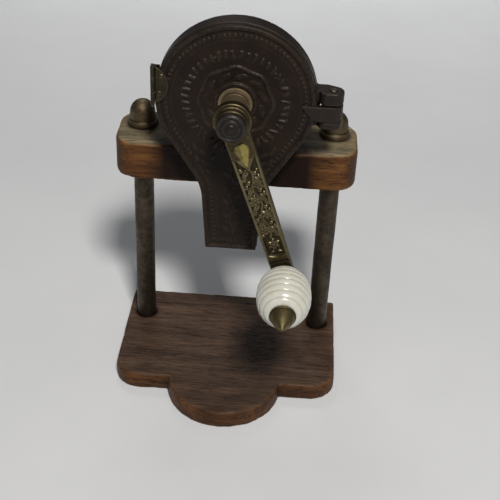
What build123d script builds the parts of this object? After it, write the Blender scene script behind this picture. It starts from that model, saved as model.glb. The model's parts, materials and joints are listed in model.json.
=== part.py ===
"""Small hand-cranked drum mill on a wooden bench stand.

A keyhole-shaped iron drum case is screwed to the front of a wooden rail that
stands on two steel pillars above a wooden base. A hinged front cover closes the
case and carries the spindle: crank outside, toothed grinding rotor inside. What
is ground leaves through the open-ended chute below the drum.

Frame: origin on the base's underside, midway between the pillars. +Z is up,
+X is to the right of somebody facing the cover, and the cover faces -Y.
Distances called "f" are measured forwards from the pillars, along -Y.
"""
from build123d import *
from math import asin, atan2, cos, degrees, hypot, pi, radians, sin, tan
import os

os.makedirs("parts", exist_ok=True)

# ---------------------------------------------------------------- stand sizes
base_w = 96.6            # width across the straight ends
base_back = 17.3         # rear edge behind the pillar line
base_front = 45.4        # straight front edge ahead of the pillar line
base_t = 8.0
base_corner_r = 11.0
lobe_r = 24.4            # half-round lobe that takes the dish
lobe_f = 42.2            # its centre ahead of the pillar line
pillar_gap = 80.0        # pillar centre to pillar centre
pillar_r = 4.3
socket_depth = 3.0       # pillar foot let into the base
stud_r = 2.5
rail_w = 99.4
rail_back = 12.0
rail_front = 18.5
rail_z0, rail_z1 = 89.8, 106.5
rail_corner_r = 9.0

# ----------------------------------------------------------------- drum sizes
drum_z = 132.4           # drum and spindle axis height
case_r = 31.0
case_f0 = rail_front     # back face, seated on the rail
case_plate = 2.0
case_wall = 2.2
case_f1 = 26.6           # front edge of the case wall
cover_gap = 0.4          # cover outline stands in from the case outline
cover_f1 = 29.1          # field of the cover's front face
cover_rim = 0.7          # raised rim
chute_z = 65.4           # mouth of the chute
chute_half = 10.8        # half width at the mouth
neck_half = 13.08        # half width where chute and shoulder meet
neck_z = 95.25
neck_r = 22.0
shoulder_deg = 31.8      # where the straight shoulder leaves the drum circle

# ---------------------------------------------------------------- hinge sizes
hinge_x, hinge_f = 36.8, 25.3
knuckle_r = 4.2
pin_r = 1.5
hinge_z = (123.3, 126.3, 126.5, 132.8, 133.2, 138.2)  # lower, cover, upper

# -------------------------------------------------------------- spindle sizes
journal_r = 3.2
bush_r = 5.25
bush_f1 = 42.0
square = 4.4             # drive square, across flats
thread_r = 2.0
rotor_r = 24.0
rotor_f = (22.4, 23.2, 24.8)   # tooth tips, disc back, disc front
plate_f = (20.5, 21.3, 22.1)   # fixed plate back, front, tooth tips

# ---------------------------------------------------------------- crank sizes
knob_x, knob_z = 23.3, 64.4    # where the crank rests, down and to the right
arm_f0, arm_f1 = 42.3, 45.7
arm_len = hypot(knob_x, drum_z - knob_z)
arm_dir = Vector(knob_x, 0, knob_z - drum_z).normalized()
eye_r, boss_r, boss_f1 = 7.25, 6.0, 49.0
cap_r, cap_f1 = 5.75, 52.2
arm_w_hub, arm_w_end = 10.0, 8.7
knob_r, knob_f0, knob_f1 = 10.9, 46.6, 70.4
finial_f1 = 80.0


def front(f):
    """Plane facing forwards (-Y), f ahead of the pillar line, local y = Z."""
    return Plane.XZ.offset(f)


def save(builder, name, colour=None):
    builder.part.label = name
    export_step(builder.part, f"parts/{name}.step")
    solids = builder.part.solids()
    print(f"{name:18s} solids {len(solids)}  volume {builder.part.volume:10.2f}")


# ------------------------------------------------------------ keyhole outline
a = radians(shoulder_deg)
with BuildSketch() as keyhole:
    with Locations((0, drum_z)):
        Circle(case_r)
    with BuildLine():
        Polyline(
            (case_r * cos(a), drum_z - case_r * sin(a)),
            (neck_half, neck_z),
            (chute_half, chute_z),
            (-chute_half, chute_z),
            (-neck_half, neck_z),
            (-case_r * cos(a), drum_z - case_r * sin(a)),
            close=True,
        )
    make_face()
    fillet([v for v in keyhole.vertices() if abs(v.Y - neck_z) < 0.1], neck_r)

# --------------------------------------------------------------------- stand
with BuildPart() as base_board:
    with BuildSketch() as board_outline:
        with Locations((0, (base_back - base_front) / 2)):
            Rectangle(base_w, base_back + base_front)
        fillet([v for v in board_outline.vertices() if v.Y < 0], base_corner_r)
        with Locations((0, -lobe_f)):
            Circle(lobe_r)
    extrude(amount=base_t)
    fillet([e for e in base_board.edges().group_by(Axis.Z)[-1]], 1.6)
    chamfer([e for e in base_board.edges().group_by(Axis.Z)[0]], 0.5)
    with BuildSketch(Plane.XY.offset(base_t - socket_depth)):
        with GridLocations(pillar_gap, 0, 2, 1):
            Circle(pillar_r + 0.08)
    extrude(amount=socket_depth + 1, mode=Mode.SUBTRACT)
    with BuildSketch(Plane.XY):
        with GridLocations(pillar_gap, 0, 2, 1):
            Circle(1.8)
    extrude(amount=base_t, mode=Mode.SUBTRACT)
    with BuildSketch(Plane.XY) as countersinks:
        with GridLocations(pillar_gap, 0, 2, 1):
            Circle(4.0)
    extrude(amount=2.4, taper=45, mode=Mode.SUBTRACT)
save(base_board, "base_board")


def pillar(x, name):
    with BuildPart() as rod:
        with BuildSketch(Plane.XY.offset(base_t - socket_depth)):
            with Locations((x, 0)):
                Circle(pillar_r)
        extrude(amount=rail_z0 - base_t + socket_depth)
        with BuildSketch(Plane.XY.offset(rail_z0)):
            with Locations((x, 0)):
                Circle(stud_r)
        extrude(amount=22.0)
        chamfer(rod.edges().group_by(Axis.Z)[-1], 0.5)
        with BuildSketch(Plane.XY.offset(base_t - socket_depth)):
            with Locations((x, 0)):
                Circle(1.7)
        extrude(amount=13.0, mode=Mode.SUBTRACT)
    save(rod, name)


pillar(-pillar_gap / 2, "left_pillar")
pillar(pillar_gap / 2, "right_pillar")

with BuildPart() as top_rail:
    with BuildSketch(Plane.XY.offset(rail_z0)):
        with Locations((0, (rail_back - rail_front) / 2)):
            RectangleRounded(rail_w, rail_back + rail_front, rail_corner_r)
    extrude(amount=rail_z1 - rail_z0)
    fillet(top_rail.edges().group_by(Axis.Z)[-1], 1.3)
    fillet(top_rail.edges().group_by(Axis.Z)[0], 1.3)
    with BuildSketch(Plane.XY.offset(rail_z0)):
        with GridLocations(pillar_gap, 0, 2, 1):
            Circle(stud_r + 0.15)
    extrude(amount=rail_z1 - rail_z0, mode=Mode.SUBTRACT)
    with BuildSketch(front(rail_front)):
        with Locations((-8.5, 97.0), (8.5, 97.0), (0, 102.5)):
            Circle(1.5)
    extrude(amount=-9.5, mode=Mode.SUBTRACT)
save(top_rail, "top_rail")


# the dome is part of a sphere centred on the nut's axis
dome_r, dome_z = 5.326, 5.474
dome_a = asin((6.0 - dome_z) / dome_r)


def cap_nut(x, name):
    with BuildPart() as nut:
        with BuildSketch(Plane.XZ):
            with BuildLine():
                Polyline(
                    (x, rail_z1), (x + 6.4, rail_z1), (x + 6.4, rail_z1 + 1.0),
                    (x + 6.1, rail_z1 + 2.4), (x + 5.65, rail_z1 + 2.8), (x + 5.7, rail_z1 + 3.2),
                    (x + dome_r * cos(dome_a), rail_z1 + 6.0),
                )
                CenterArc((x, rail_z1 + dome_z), dome_r, degrees(dome_a), 90 - degrees(dome_a))
                Line((x, rail_z1 + 10.8), (x, rail_z1))
            make_face()
        revolve(axis=Axis((x, 0, 0), (0, 0, 1)))
        with BuildSketch(Plane.XY.offset(rail_z1)):
            with Locations((x, 0)):
                Circle(stud_r + 0.05)
        extrude(amount=7.0, mode=Mode.SUBTRACT)
    save(nut, name)


cap_nut(-pillar_gap / 2, "left_cap_nut")
cap_nut(pillar_gap / 2, "right_cap_nut")

with BuildPart() as base_screws:
    with BuildSketch(Plane.XZ):
        with BuildLine():
            Polyline((40, 0.4), (43.4, 0.4), (41.65, 2.15), (41.65, 15.0), (40, 15.0), close=True)
        make_face()
    revolve(axis=Axis((40, 0, 0), (0, 0, 1)))
    with BuildSketch(Plane.XY.offset(0.4)):
        with Locations((40, 0)):
            Rectangle(7.0, 0.9)
    extrude(amount=0.8, mode=Mode.SUBTRACT)
    mirror(about=Plane.YZ)
save(base_screws, "base_screws")

# ----------------------------------------------------------------- drum case
with BuildPart() as drum_case:
    with BuildSketch(front(case_f0)):
        add(keyhole.sketch)
    extrude(amount=case_f1 - case_f0)
    fillet([e for e in drum_case.edges().group_by(Axis.Y)[-1]], 0.8)
    for z0, z1 in ((hinge_z[0], hinge_z[1]), (hinge_z[4], hinge_z[5])):
        with BuildSketch(Plane.XY.offset(z0)):
            with Locations((hinge_x, -hinge_f)):
                Circle(knuckle_r)
            with BuildLine():
                Polyline(
                    (29.0, -19.8), (34.6, -19.8), (38.3, -21.35), (hinge_x, -26.3), (29.0, -26.3),
                    close=True,
                )
            make_face()
            with BuildLine():
                Polyline(
                    (31.6, -hinge_f), (31.6, -26.4), (32.2, -28.3), (33.8, -29.4), (38.4, -29.4),
                    (40.3, -28.2), (41.0, -hinge_f), close=True,
                )
            make_face()
        extrude(amount=z1 - z0)
    # web down the side of the case that joins its two knuckles
    with BuildSketch(Plane.XY.offset(hinge_z[0])):
        with BuildLine():
            Polyline((29.5, -19.8), (32.2, -19.8), (32.2, -24.4), (29.5, -24.4), close=True)
        make_face()
    extrude(amount=hinge_z[5] - hinge_z[0])
    with BuildSketch(front(case_f0 + case_plate)) as chamber:
        add(keyhole.sketch)
        offset(amount=-case_wall, kind=Kind.INTERSECTION, mode=Mode.REPLACE)
        with BuildLine():
            Polyline(
                (chute_half - case_wall - 0.15, chute_z - 1), (-chute_half + case_wall + 0.15, chute_z - 1),
                (-chute_half + case_wall - 0.05, chute_z + 3), (chute_half - case_wall + 0.05, chute_z + 3),
                close=True,
            )
        make_face()
    extrude(amount=case_f1 - case_f0, mode=Mode.SUBTRACT)
    with BuildSketch(Plane.XY.offset(hinge_z[0] - 1)):
        with Locations((hinge_x, -hinge_f)):
            Circle(pin_r + 0.02)
    extrude(amount=16.0, mode=Mode.SUBTRACT)
    with BuildSketch(front(case_f0 - 0.5)):
        with Locations((-8.5, 97.0), (8.5, 97.0), (0, 102.5)):
            Circle(1.7)
    extrude(amount=4.0, mode=Mode.SUBTRACT)
    with BuildSketch(front(case_f0 + case_plate)):
        with Locations((-8.5, 97.0), (8.5, 97.0), (0, 102.5)):
            Circle(3.2)
    extrude(amount=-1.5, taper=45, mode=Mode.SUBTRACT)
    with BuildSketch(front(case_f0 - 0.5)):
        with Locations((0, drum_z)):
            with PolarLocations(10.2, 3, start_angle=90):
                Circle(0.85)
    extrude(amount=4.0, mode=Mode.SUBTRACT)
save(drum_case, "drum_case")

with BuildPart() as case_screws:
    for x, z in ((-8.5, 97.0), (8.5, 97.0), (0, 102.5)):
        with BuildSketch(Plane.XY.offset(z)):
            with BuildLine():
                Polyline(
                    (x, -20.45), (x + 3.05, -20.45), (x + 1.45, -18.85), (x + 1.45, -11.5), (x, -9.2),
                    close=True,
                )
            make_face()
        revolve(axis=Axis((x, 0, z), (0, 1, 0)))
        with BuildSketch(front(20.45)):
            with Locations((x, z)):
                Rectangle(6.6, 0.8)
        extrude(amount=-0.7, mode=Mode.SUBTRACT)
save(case_screws, "case_screws")

with BuildPart() as hinge_pin:
    with BuildSketch(Plane.XY.offset(hinge_z[0] - 0.3)):
        with Locations((hinge_x, -hinge_f)):
            Circle(pin_r)
    extrude(amount=hinge_z[5] - hinge_z[0] + 0.7)
    fillet(hinge_pin.edges().group_by(Axis.Z)[-1], 0.5)
save(hinge_pin, "hinge_pin")

# ---------------------------------------------------- fixed grinding plate
with BuildPart() as grinding_plate:
    with BuildSketch(front(plate_f[0])):
        with Locations((0, drum_z)):
            Circle(rotor_r)
            Circle(7.6, mode=Mode.SUBTRACT)
    extrude(amount=plate_f[1] - plate_f[0])
    with BuildSketch(front(plate_f[1])):
        with Locations((0, drum_z)):
            with PolarLocations(18.2, 32):
                Rectangle(9.6, 1.1)
    extrude(amount=plate_f[2] - plate_f[1])
    with BuildSketch(front(plate_f[1])):
        with Locations((0, drum_z)):
            with PolarLocations(10.2, 3, start_angle=90):
                Circle(1.65)
    extrude(amount=-0.8, taper=38, mode=Mode.SUBTRACT)
save(grinding_plate, "grinding_plate")

with BuildPart() as plate_screws:
    for i in range(3):
        t = radians(90 + 120 * i)
        x, z = 10.2 * cos(t), drum_z + 10.2 * sin(t)
        with BuildSketch(Plane.XY.offset(z)):
            with BuildLine():
                Polyline(
                    (x, -21.25), (x + 1.5, -21.25), (x + 0.8, -20.45), (x + 0.8, -18.7), (x, -18.7),
                    close=True,
                )
            make_face()
        revolve(axis=Axis((x, 0, z), (0, 1, 0)))
save(plate_screws, "plate_screws")

# --------------------------------------------------------------- front cover
with BuildPart() as front_cover:
    with BuildSketch(front(case_f1)):
        add(keyhole.sketch)
        offset(amount=-cover_gap, kind=Kind.INTERSECTION, mode=Mode.REPLACE)
    extrude(amount=cover_f1 - case_f1)
    with BuildSketch(front(cover_f1)):
        add(keyhole.sketch)
        offset(amount=-cover_gap, kind=Kind.INTERSECTION, mode=Mode.REPLACE)
    extrude(amount=cover_rim)
    fillet([e for e in front_cover.edges().group_by(Axis.Y)[0]], 0.6)
    with BuildSketch(front(cover_f1)):
        add(keyhole.sketch)
        offset(amount=-cover_gap - 1.9, kind=Kind.INTERSECTION, mode=Mode.REPLACE)
    extrude(amount=cover_rim + 1, mode=Mode.SUBTRACT)
    # hub rings: outer bead, dished field, raised boss round the bush
    with BuildSketch(front(cover_f1)):
        with Locations((0, drum_z)):
            Circle(14.8)
            Circle(13.4, mode=Mode.SUBTRACT)
    extrude(amount=0.6)
    with BuildSketch(front(cover_f1)):
        with Locations((0, drum_z)):
            Circle(8.2)
    extrude(amount=0.9)
    # hinge knuckle and its tapering strap
    with BuildSketch(Plane.XY.offset(hinge_z[2])):
        with Locations((hinge_x, -hinge_f)):
            Circle(knuckle_r)
        with BuildLine():
            Polyline(
                (32.2, -27.0), (hinge_x, -27.0), (41.0, -hinge_f), (40.3, -28.2), (38.4, -29.8),
                (32.2, -29.8), close=True,
            )
        make_face()
    extrude(amount=hinge_z[3] - hinge_z[2])
    with BuildSketch(front(27.2)):
        with BuildLine():
            Polyline((24.6, 132.9), (33.2, 132.8), (33.2, 126.5), (30.2, 126.9), (27.2, 129.6), close=True)
        make_face()
    extrude(amount=30.1 - 27.2)
    with BuildSketch(Plane.XY.offset(hinge_z[2] - 1)):
        with Locations((hinge_x, -hinge_f)):
            Circle(pin_r + 0.08)
    extrude(amount=8.5, mode=Mode.SUBTRACT)
    # bore for the bearing bush
    with BuildSketch(front(case_f1)):
        with Locations((0, drum_z)):
            Circle(bush_r + 0.02)
    extrude(amount=6.0, mode=Mode.SUBTRACT)
    # rivet holes for the catch plate
    with BuildSketch(front(case_f1)):
        with Locations((-28.8, 134.7), (-28.0, 141.7)):
            Circle(0.72)
    extrude(amount=5.0, mode=Mode.SUBTRACT)
save(front_cover, "front_cover")

with BuildPart() as bearing_bush:
    with BuildSketch(front(case_f1)):
        with Locations((0, drum_z)):
            Circle(7.0)
    extrude(amount=-0.95)
    with BuildSketch(front(case_f1)):
        with Locations((0, drum_z)):
            Circle(bush_r)
    extrude(amount=bush_f1 - case_f1)
    chamfer(bearing_bush.edges().group_by(Axis.Y)[0], 0.5)
    with BuildSketch(front(30.0)):
        with Locations((0, drum_z)):
            Circle(6.6)
    extrude(amount=1.1)
    with BuildSketch(front(20.0)):
        with Locations((0, drum_z)):
            Circle(journal_r + 0.06)
    extrude(amount=30.0, mode=Mode.SUBTRACT)
save(bearing_bush, "bearing_bush")

# ------------------------------------------------------------- cover's catch
catch_x, catch_f = -31.2, 30.7
barrel_r, wire_r = 0.9, 0.45
with BuildPart() as catch_plate:
    with BuildSketch(front(29.85)):
        with BuildLine():
            Line((catch_x, 130.4), (catch_x, 145.9))
            ThreePointArc((catch_x, 145.9), (-25.3, 138.2), (catch_x, 130.4))
        make_face()
    extrude(amount=0.8)
    with BuildSketch(Plane.XY.offset(135.3)):
        with Locations((catch_x, -catch_f)):
            Circle(barrel_r)
    extrude(amount=5.8)
    with BuildSketch(Plane.XY.offset(129.9)):
        with Locations((catch_x, -catch_f)):
            Circle(barrel_r + 0.18)
    extrude(amount=5.4, mode=Mode.SUBTRACT)
    with BuildSketch(Plane.XY.offset(141.1)):
        with Locations((catch_x, -catch_f)):
            Circle(barrel_r + 0.18)
    extrude(amount=5.4, mode=Mode.SUBTRACT)
    with BuildSketch(Plane.XY.offset(129.9)):
        with Locations((catch_x, -catch_f)):
            Circle(wire_r + 0.02)
    extrude(amount=17.0, mode=Mode.SUBTRACT)
    with BuildSketch(front(29.0)):
        with Locations((-28.8, 134.7), (-28.0, 141.7)):
            Circle(0.72)
    extrude(amount=3.0, mode=Mode.SUBTRACT)
save(catch_plate, "catch_plate")

with BuildPart() as catch_rivets:
    for x, z in ((-28.8, 134.7), (-28.0, 141.7)):
        with BuildSketch(Plane.XY.offset(z)):
            with BuildLine():
                Polyline((x, -26.65), (x + 0.7, -26.65), (x + 0.7, -30.65), (x + 1.1, -30.65), (x + 0.8, -30.95), (x, -31.05), close=True)
            make_face()
        revolve(axis=Axis((x, 0, z), (0, 1, 0)))
save(catch_rivets, "catch_rivets")

with BuildPart() as catch_pin:
    with BuildSketch(Plane.XY.offset(130.1)):
        with Locations((catch_x, -catch_f)):
            Circle(wire_r)
    extrude(amount=16.1)
    with BuildSketch(Plane.XY.offset(129.6)):
        with Locations((catch_x, -catch_f)):
            Circle(0.7)
    extrude(amount=0.6)
save(catch_pin, "catch_pin")

with BuildPart() as catch_leaf:
    with BuildSketch(Plane.XY.offset(130.4)):
        with Locations((catch_x, -catch_f)):
            Circle(barrel_r)
        with BuildLine():
            Polyline(
                (catch_x - 0.8, -catch_f), (catch_x - 0.1, -catch_f), (catch_x - 0.1, -18.2),
                (catch_x + 1.1, -18.2), (catch_x + 1.1, -17.6), (catch_x - 0.45, -17.6),
                (catch_x - 0.8, -18.0), close=True,
            )
        make_face()
    extrude(amount=15.5)
    # knuckle gap for the catch plate
    with BuildSketch(Plane.XY.offset(135.2)):
        with Locations((catch_x, -catch_f)):
            Circle(barrel_r + 0.35)
    extrude(amount=6.0, mode=Mode.SUBTRACT)
    # the leaf narrows towards its free end
    with BuildSketch(Plane.YZ.offset(catch_x - 3)):
        with BuildLine():
            Polyline((-28.6, 146.0), (-17.0, 140.6), (-17.0, 147.4), (-28.6, 147.4), close=True)
        make_face()
        with BuildLine():
            Polyline((-28.6, 130.3), (-17.0, 135.4), (-17.0, 128.9), (-28.6, 128.9), close=True)
        make_face()
    extrude(amount=6.0, mode=Mode.SUBTRACT)
    with BuildSketch(Plane.XY.offset(129.9)):
        with Locations((catch_x, -catch_f)):
            Circle(wire_r + 0.06)
    extrude(amount=17.0, mode=Mode.SUBTRACT)
save(catch_leaf, "catch_leaf")

# ------------------------------------------------------- spindle and grinder
with BuildPart() as spindle:
    with BuildSketch(front(24.9)):
        with Locations((0, drum_z)):
            Circle(journal_r)
    extrude(amount=42.1 - 24.9)
    with BuildSketch(front(23.2)):
        with Locations((0, drum_z)):
            Rectangle(square, square)
    extrude(amount=1.7)
    with BuildSketch(front(42.1)):
        with Locations((0, drum_z)):
            Rectangle(square, square, rotation=18.76)
    extrude(amount=boss_f1 - 42.2)
    with BuildSketch(front(20.9)):
        with Locations((0, drum_z)):
            Circle(thread_r)
    extrude(amount=2.3)
    with BuildSketch(front(boss_f1 - 0.1)):
        with Locations((0, drum_z)):
            Circle(thread_r)
    extrude(amount=2.4)
save(spindle, "spindle")

with BuildPart() as thrust_washer:
    with BuildSketch(front(24.9)):
        with Locations((0, drum_z)):
            Circle(6.2)
            Circle(journal_r + 0.12, mode=Mode.SUBTRACT)
    extrude(amount=0.7)
save(thrust_washer, "thrust_washer")

with BuildPart() as grinding_rotor:
    with BuildSketch(front(rotor_f[1])):
        with Locations((0, drum_z)):
            Circle(rotor_r)
    extrude(amount=rotor_f[2] - rotor_f[1])
    with BuildSketch(front(rotor_f[0])):
        with Locations((0, drum_z)):
            with PolarLocations(18.0, 24):
                Rectangle(10.0, 1.3, rotation=24)
    extrude(amount=rotor_f[1] - rotor_f[0])
    with BuildSketch(front(rotor_f[0])):
        with Locations((0, drum_z)):
            with PolarLocations(9.6, 6):
                Circle(1.6)
            Rectangle(square + 0.1, square + 0.1)
    extrude(amount=4.0, mode=Mode.SUBTRACT)
save(grinding_rotor, "grinding_rotor")

with BuildPart() as rotor_nut:
    with BuildSketch(front(21.15)):
        with Locations((0, drum_z)):
            RegularPolygon(3.6, 6, major_radius=False)
            Circle(thread_r + 0.05, mode=Mode.SUBTRACT)
    extrude(amount=2.0)
save(rotor_nut, "rotor_nut")

# --------------------------------------------------------------------- crank
arm_plane = Plane(origin=(0, -arm_f0, drum_z), x_dir=arm_dir, z_dir=(0, -1, 0))
with BuildPart() as crank_arm:
    with BuildSketch(arm_plane):
        Circle(eye_r)
        with BuildLine():
            Polyline(
                (0, -arm_w_hub / 2 - 0.3), (arm_len, -arm_w_end / 2),
                (arm_len, arm_w_end / 2), (0, arm_w_hub / 2 + 0.3), close=True,
            )
        make_face()
        with Locations((arm_len, 0)):
            Circle(5.0)
    extrude(amount=arm_f1 - arm_f0)
    fillet(crank_arm.edges().group_by(Axis.Y)[0], 0.5)
    fillet(crank_arm.edges().group_by(Axis.Y)[-1], 0.4)
    # boss that clamps on the spindle square
    with BuildSketch(arm_plane.offset(arm_f1 - arm_f0)):
        Circle(boss_r)
    extrude(amount=boss_f1 - arm_f1)
    # pad the knob pin is riveted in
    with BuildSketch(arm_plane.offset(arm_f1 - arm_f0)):
        with Locations((arm_len, 0)):
            Circle(4.4)
    extrude(amount=0.3)
    # recessed panel for the relief: its hub end dips round a pointed shield
    with BuildSketch(arm_plane.offset(arm_f1 - arm_f0)):
        with BuildLine():
            Polyline(
                (15.4, -arm_w_hub / 2 + 1.05), (61.2, -arm_w_end / 2 + 0.95),
                (61.2, arm_w_end / 2 - 0.95), (15.4, arm_w_hub / 2 - 1.05), (21.2, 0.0), close=True,
            )
        make_face()
    extrude(amount=-1.0, mode=Mode.SUBTRACT)
    with BuildSketch(arm_plane):
        Rectangle(square + 0.1, square + 0.1)
        with Locations((arm_len, 0)):
            Circle(2.02)
    extrude(amount=8.0, mode=Mode.SUBTRACT)
save(crank_arm, "crank_arm")

with BuildPart() as crank_cap_nut:
    with BuildSketch(Plane.XY.offset(drum_z)):
        with BuildLine():
            Polyline(
                (0, -boss_f1 - 0.05), (cap_r - 0.3, -boss_f1 - 0.05), (cap_r, -boss_f1 - 0.4),
                (cap_r, -51.0), (cap_r - 0.5, -51.9), (4.1, -52.3), (3.8, -52.0), (3.3, -52.0),
                (3.0, -52.6), (1.6, -53.0), (0, -53.1), close=True,
            )
        make_face()
    revolve(axis=Axis((0, 0, drum_z), (0, 1, 0)))
    with BuildSketch(front(48.0)):
        with Locations((0, drum_z)):
            Circle(thread_r + 0.05)
    extrude(amount=3.5, mode=Mode.SUBTRACT)
save(crank_cap_nut, "crank_cap_nut")

with BuildPart() as knob_pin:
    with BuildSketch(front(arm_f0 + 0.1)):
        with Locations((knob_x, knob_z)):
            Circle(2.0)
    extrude(amount=76.5 - arm_f0 - 0.1)
    chamfer(knob_pin.edges().group_by(Axis.Y)[0], 0.4)
save(knob_pin, "knob_pin")

with BuildPart() as knob_collar:
    with BuildSketch(front(46.05)):
        with Locations((knob_x, knob_z)):
            Circle(4.2)
            Circle(2.05, mode=Mode.SUBTRACT)
    extrude(amount=0.45)
save(knob_collar, "knob_collar")

# Ribbed barrel knob: the profile steps between shallow rounded ribs.
ribs = 9
length = knob_f1 - knob_f0
with BuildPart() as knob:
    with BuildSketch(Plane.XY.offset(knob_z)):
        with BuildLine():
            outer = [
                (5.3 + (knob_r - 5.3) * (1 - abs(2 * k / 400 - 1) ** 2.35) ** 0.62, length * k / 400)
                for k in range(401)
            ]
            along = [0.0]
            for (r0, f0), (r1, f1) in zip(outer[:-1], outer[1:]):
                along.append(along[-1] + hypot(r1 - r0, f1 - f0))
            points = []
            steps = ribs * 6
            for i in range(steps + 1):
                share = i / steps
                k = min(range(401), key=lambda n: abs(along[n] - share * along[-1]))
                rib = 0.36 * (abs(sin(pi * ribs * share)) ** 0.7 - 1.0)
                points.append((knob_x + outer[k][0] + rib, -(knob_f0 + outer[k][1])))
            Polyline(*points)
            Polyline(points[-1], (knob_x + 2.1, -knob_f1), (knob_x + 2.1, -knob_f0), points[0])
        make_face()
    revolve(axis=Axis((knob_x, 0, knob_z), (0, 1, 0)))
save(knob, "knob")

with BuildPart() as knob_finial:
    with BuildSketch(Plane.XY.offset(knob_z)):
        with BuildLine():
            Polyline(
                (knob_x, -70.5), (knob_x + 5.0, -70.5), (knob_x + 5.25, -71.2), (knob_x + 4.9, -72.0),
            )
            Spline((knob_x + 4.9, -72.0), (knob_x + 3.4, -75.6), (knob_x + 1.5, -78.9), (knob_x, -finial_f1))
            Line((knob_x, -finial_f1), (knob_x, -70.5))
        make_face()
    revolve(axis=Axis((knob_x, 0, knob_z), (0, 1, 0)))
    with BuildSketch(front(70.0)):
        with Locations((knob_x, knob_z)):
            Circle(2.05)
    extrude(amount=6.7, mode=Mode.SUBTRACT)
save(knob_finial, "knob_finial")

print("crank length", round(arm_len, 2), "angle", round(degrees(atan2(knob_x, drum_z - knob_z)), 2))
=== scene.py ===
import json
import math

import bmesh
import bpy
import numpy as np
from mathutils import Matrix, Vector


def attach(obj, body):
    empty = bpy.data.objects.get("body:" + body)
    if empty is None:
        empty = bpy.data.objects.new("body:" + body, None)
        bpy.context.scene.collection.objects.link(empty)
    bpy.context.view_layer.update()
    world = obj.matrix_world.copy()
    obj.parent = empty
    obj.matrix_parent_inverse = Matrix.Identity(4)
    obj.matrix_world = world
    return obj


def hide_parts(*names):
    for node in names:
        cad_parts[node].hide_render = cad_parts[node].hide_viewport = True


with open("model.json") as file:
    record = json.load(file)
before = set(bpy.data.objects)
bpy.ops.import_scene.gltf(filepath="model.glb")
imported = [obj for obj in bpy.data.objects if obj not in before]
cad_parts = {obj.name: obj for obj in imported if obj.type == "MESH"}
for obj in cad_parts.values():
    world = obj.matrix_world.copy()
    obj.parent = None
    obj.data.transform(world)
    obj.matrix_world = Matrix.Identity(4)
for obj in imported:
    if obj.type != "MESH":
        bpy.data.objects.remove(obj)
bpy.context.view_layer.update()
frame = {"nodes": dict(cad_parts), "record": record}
MM = 0.001
scene = bpy.context.scene
TAU = 2 * math.pi

# Shared sizes, in millimetres, in the row frame. "f" is distance forwards, along -Y.
DRUM_Z = 132.4
CASE_R = 31.0
KNOB = (23.3, 64.4)
HINGE = (36.8, 25.3)
ARM_LEN = math.hypot(KNOB[0], DRUM_Z - KNOB[1])
ARM_D = np.array([KNOB[0], 0.0, KNOB[1] - DRUM_Z]) / ARM_LEN      # along the arm, from hub to knob
ARM_T = np.array([-ARM_D[2], 0.0, ARM_D[0]])                      # across it


# ------------------------------------------------------------------ noise
_tables = {}


def noise3(p, seed=0):
    """Smooth gradient noise, about -1..1, at each row of p."""
    if seed not in _tables:
        rng = np.random.RandomState(seed + 11)
        g = rng.normal(size=(256, 3))
        _tables[seed] = (rng.permutation(256), g / np.linalg.norm(g, axis=1)[:, None])
    perm, grad = _tables[seed]
    i = np.floor(p).astype(np.int64)
    f = p - i
    u = f * f * f * (f * (f * 6 - 15) + 10)
    total = np.zeros(len(p))
    for dx in (0, 1):
        for dy in (0, 1):
            for dz in (0, 1):
                h = perm[(perm[(perm[(i[:, 0] + dx) & 255] + i[:, 1] + dy) & 255] + i[:, 2] + dz) & 255]
                d = f - np.array([dx, dy, dz])
                w = (u[:, 0] if dx else 1 - u[:, 0]) * (u[:, 1] if dy else 1 - u[:, 1]) * (u[:, 2] if dz else 1 - u[:, 2])
                total += w * np.einsum("ij,ij->i", grad[h], d)
    return total * 1.7


def fbm(p, octaves=4, seed=0, gain=0.5):
    total, amp, norm = 0, 1.0, 0.0
    for k in range(octaves):
        total = total + amp * noise3(p * 2**k + 17.3 * k, seed + k)
        norm += amp
        amp *= gain
    return total / norm


def sstep(a, b, x):
    t = np.clip((x - a) / (b - a), 0, 1)
    return t * t * (3 - 2 * t)


# ------------------------------------------------------------- mesh helpers
def new_object(name, V, F, attrs=None, smooth_angle=40):
    me = bpy.data.meshes.new(name)
    me.from_pydata([tuple(v) for v in (np.asarray(V) * MM).tolist()], [], [tuple(f) for f in F])
    me.validate()
    bm = bmesh.new()
    bm.from_mesh(me)
    bmesh.ops.recalc_face_normals(bm, faces=bm.faces)
    bm.to_mesh(me)
    bm.free()
    for key, values in (attrs or {}).items():
        a = me.attributes.new(key, "FLOAT", "POINT")
        a.data.foreach_set("value", np.asarray(values, np.float32))
    me.shade_smooth()
    if smooth_angle:
        me.set_sharp_from_angle(angle=math.radians(smooth_angle))
    o = bpy.data.objects.new(name, me)
    scene.collection.objects.link(o)
    return o


def place(o, body, slot, mat, *nodes):
    o.data.materials.clear()
    o.data.materials.append(mat)
    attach(o, body)
    if nodes:
        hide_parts(*nodes)
    return o


def bezier_corners(points, radii, n=5, closed=False):
    """A polyline with its corners rounded: each corner gives way to a short curve."""
    pts = [np.array(p, float) for p in points]
    m = len(pts)
    out = []
    for i, p in enumerate(pts):
        r = radii if np.isscalar(radii) else radii[i]
        if (not closed and i in (0, m - 1)) or r <= 0:
            out.append(p)
            continue
        a, b = pts[i - 1], pts[(i + 1) % m]
        la, lb = np.linalg.norm(a - p), np.linalg.norm(b - p)
        ra, rb = min(r, la * 0.49), min(r, lb * 0.49)
        s, e = p + (a - p) / la * ra, p + (b - p) / lb * rb
        for k in range(n + 1):
            t = k / n
            out.append((1 - t) ** 2 * s + 2 * t * (1 - t) * p + t * t * e)
    return out


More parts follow.
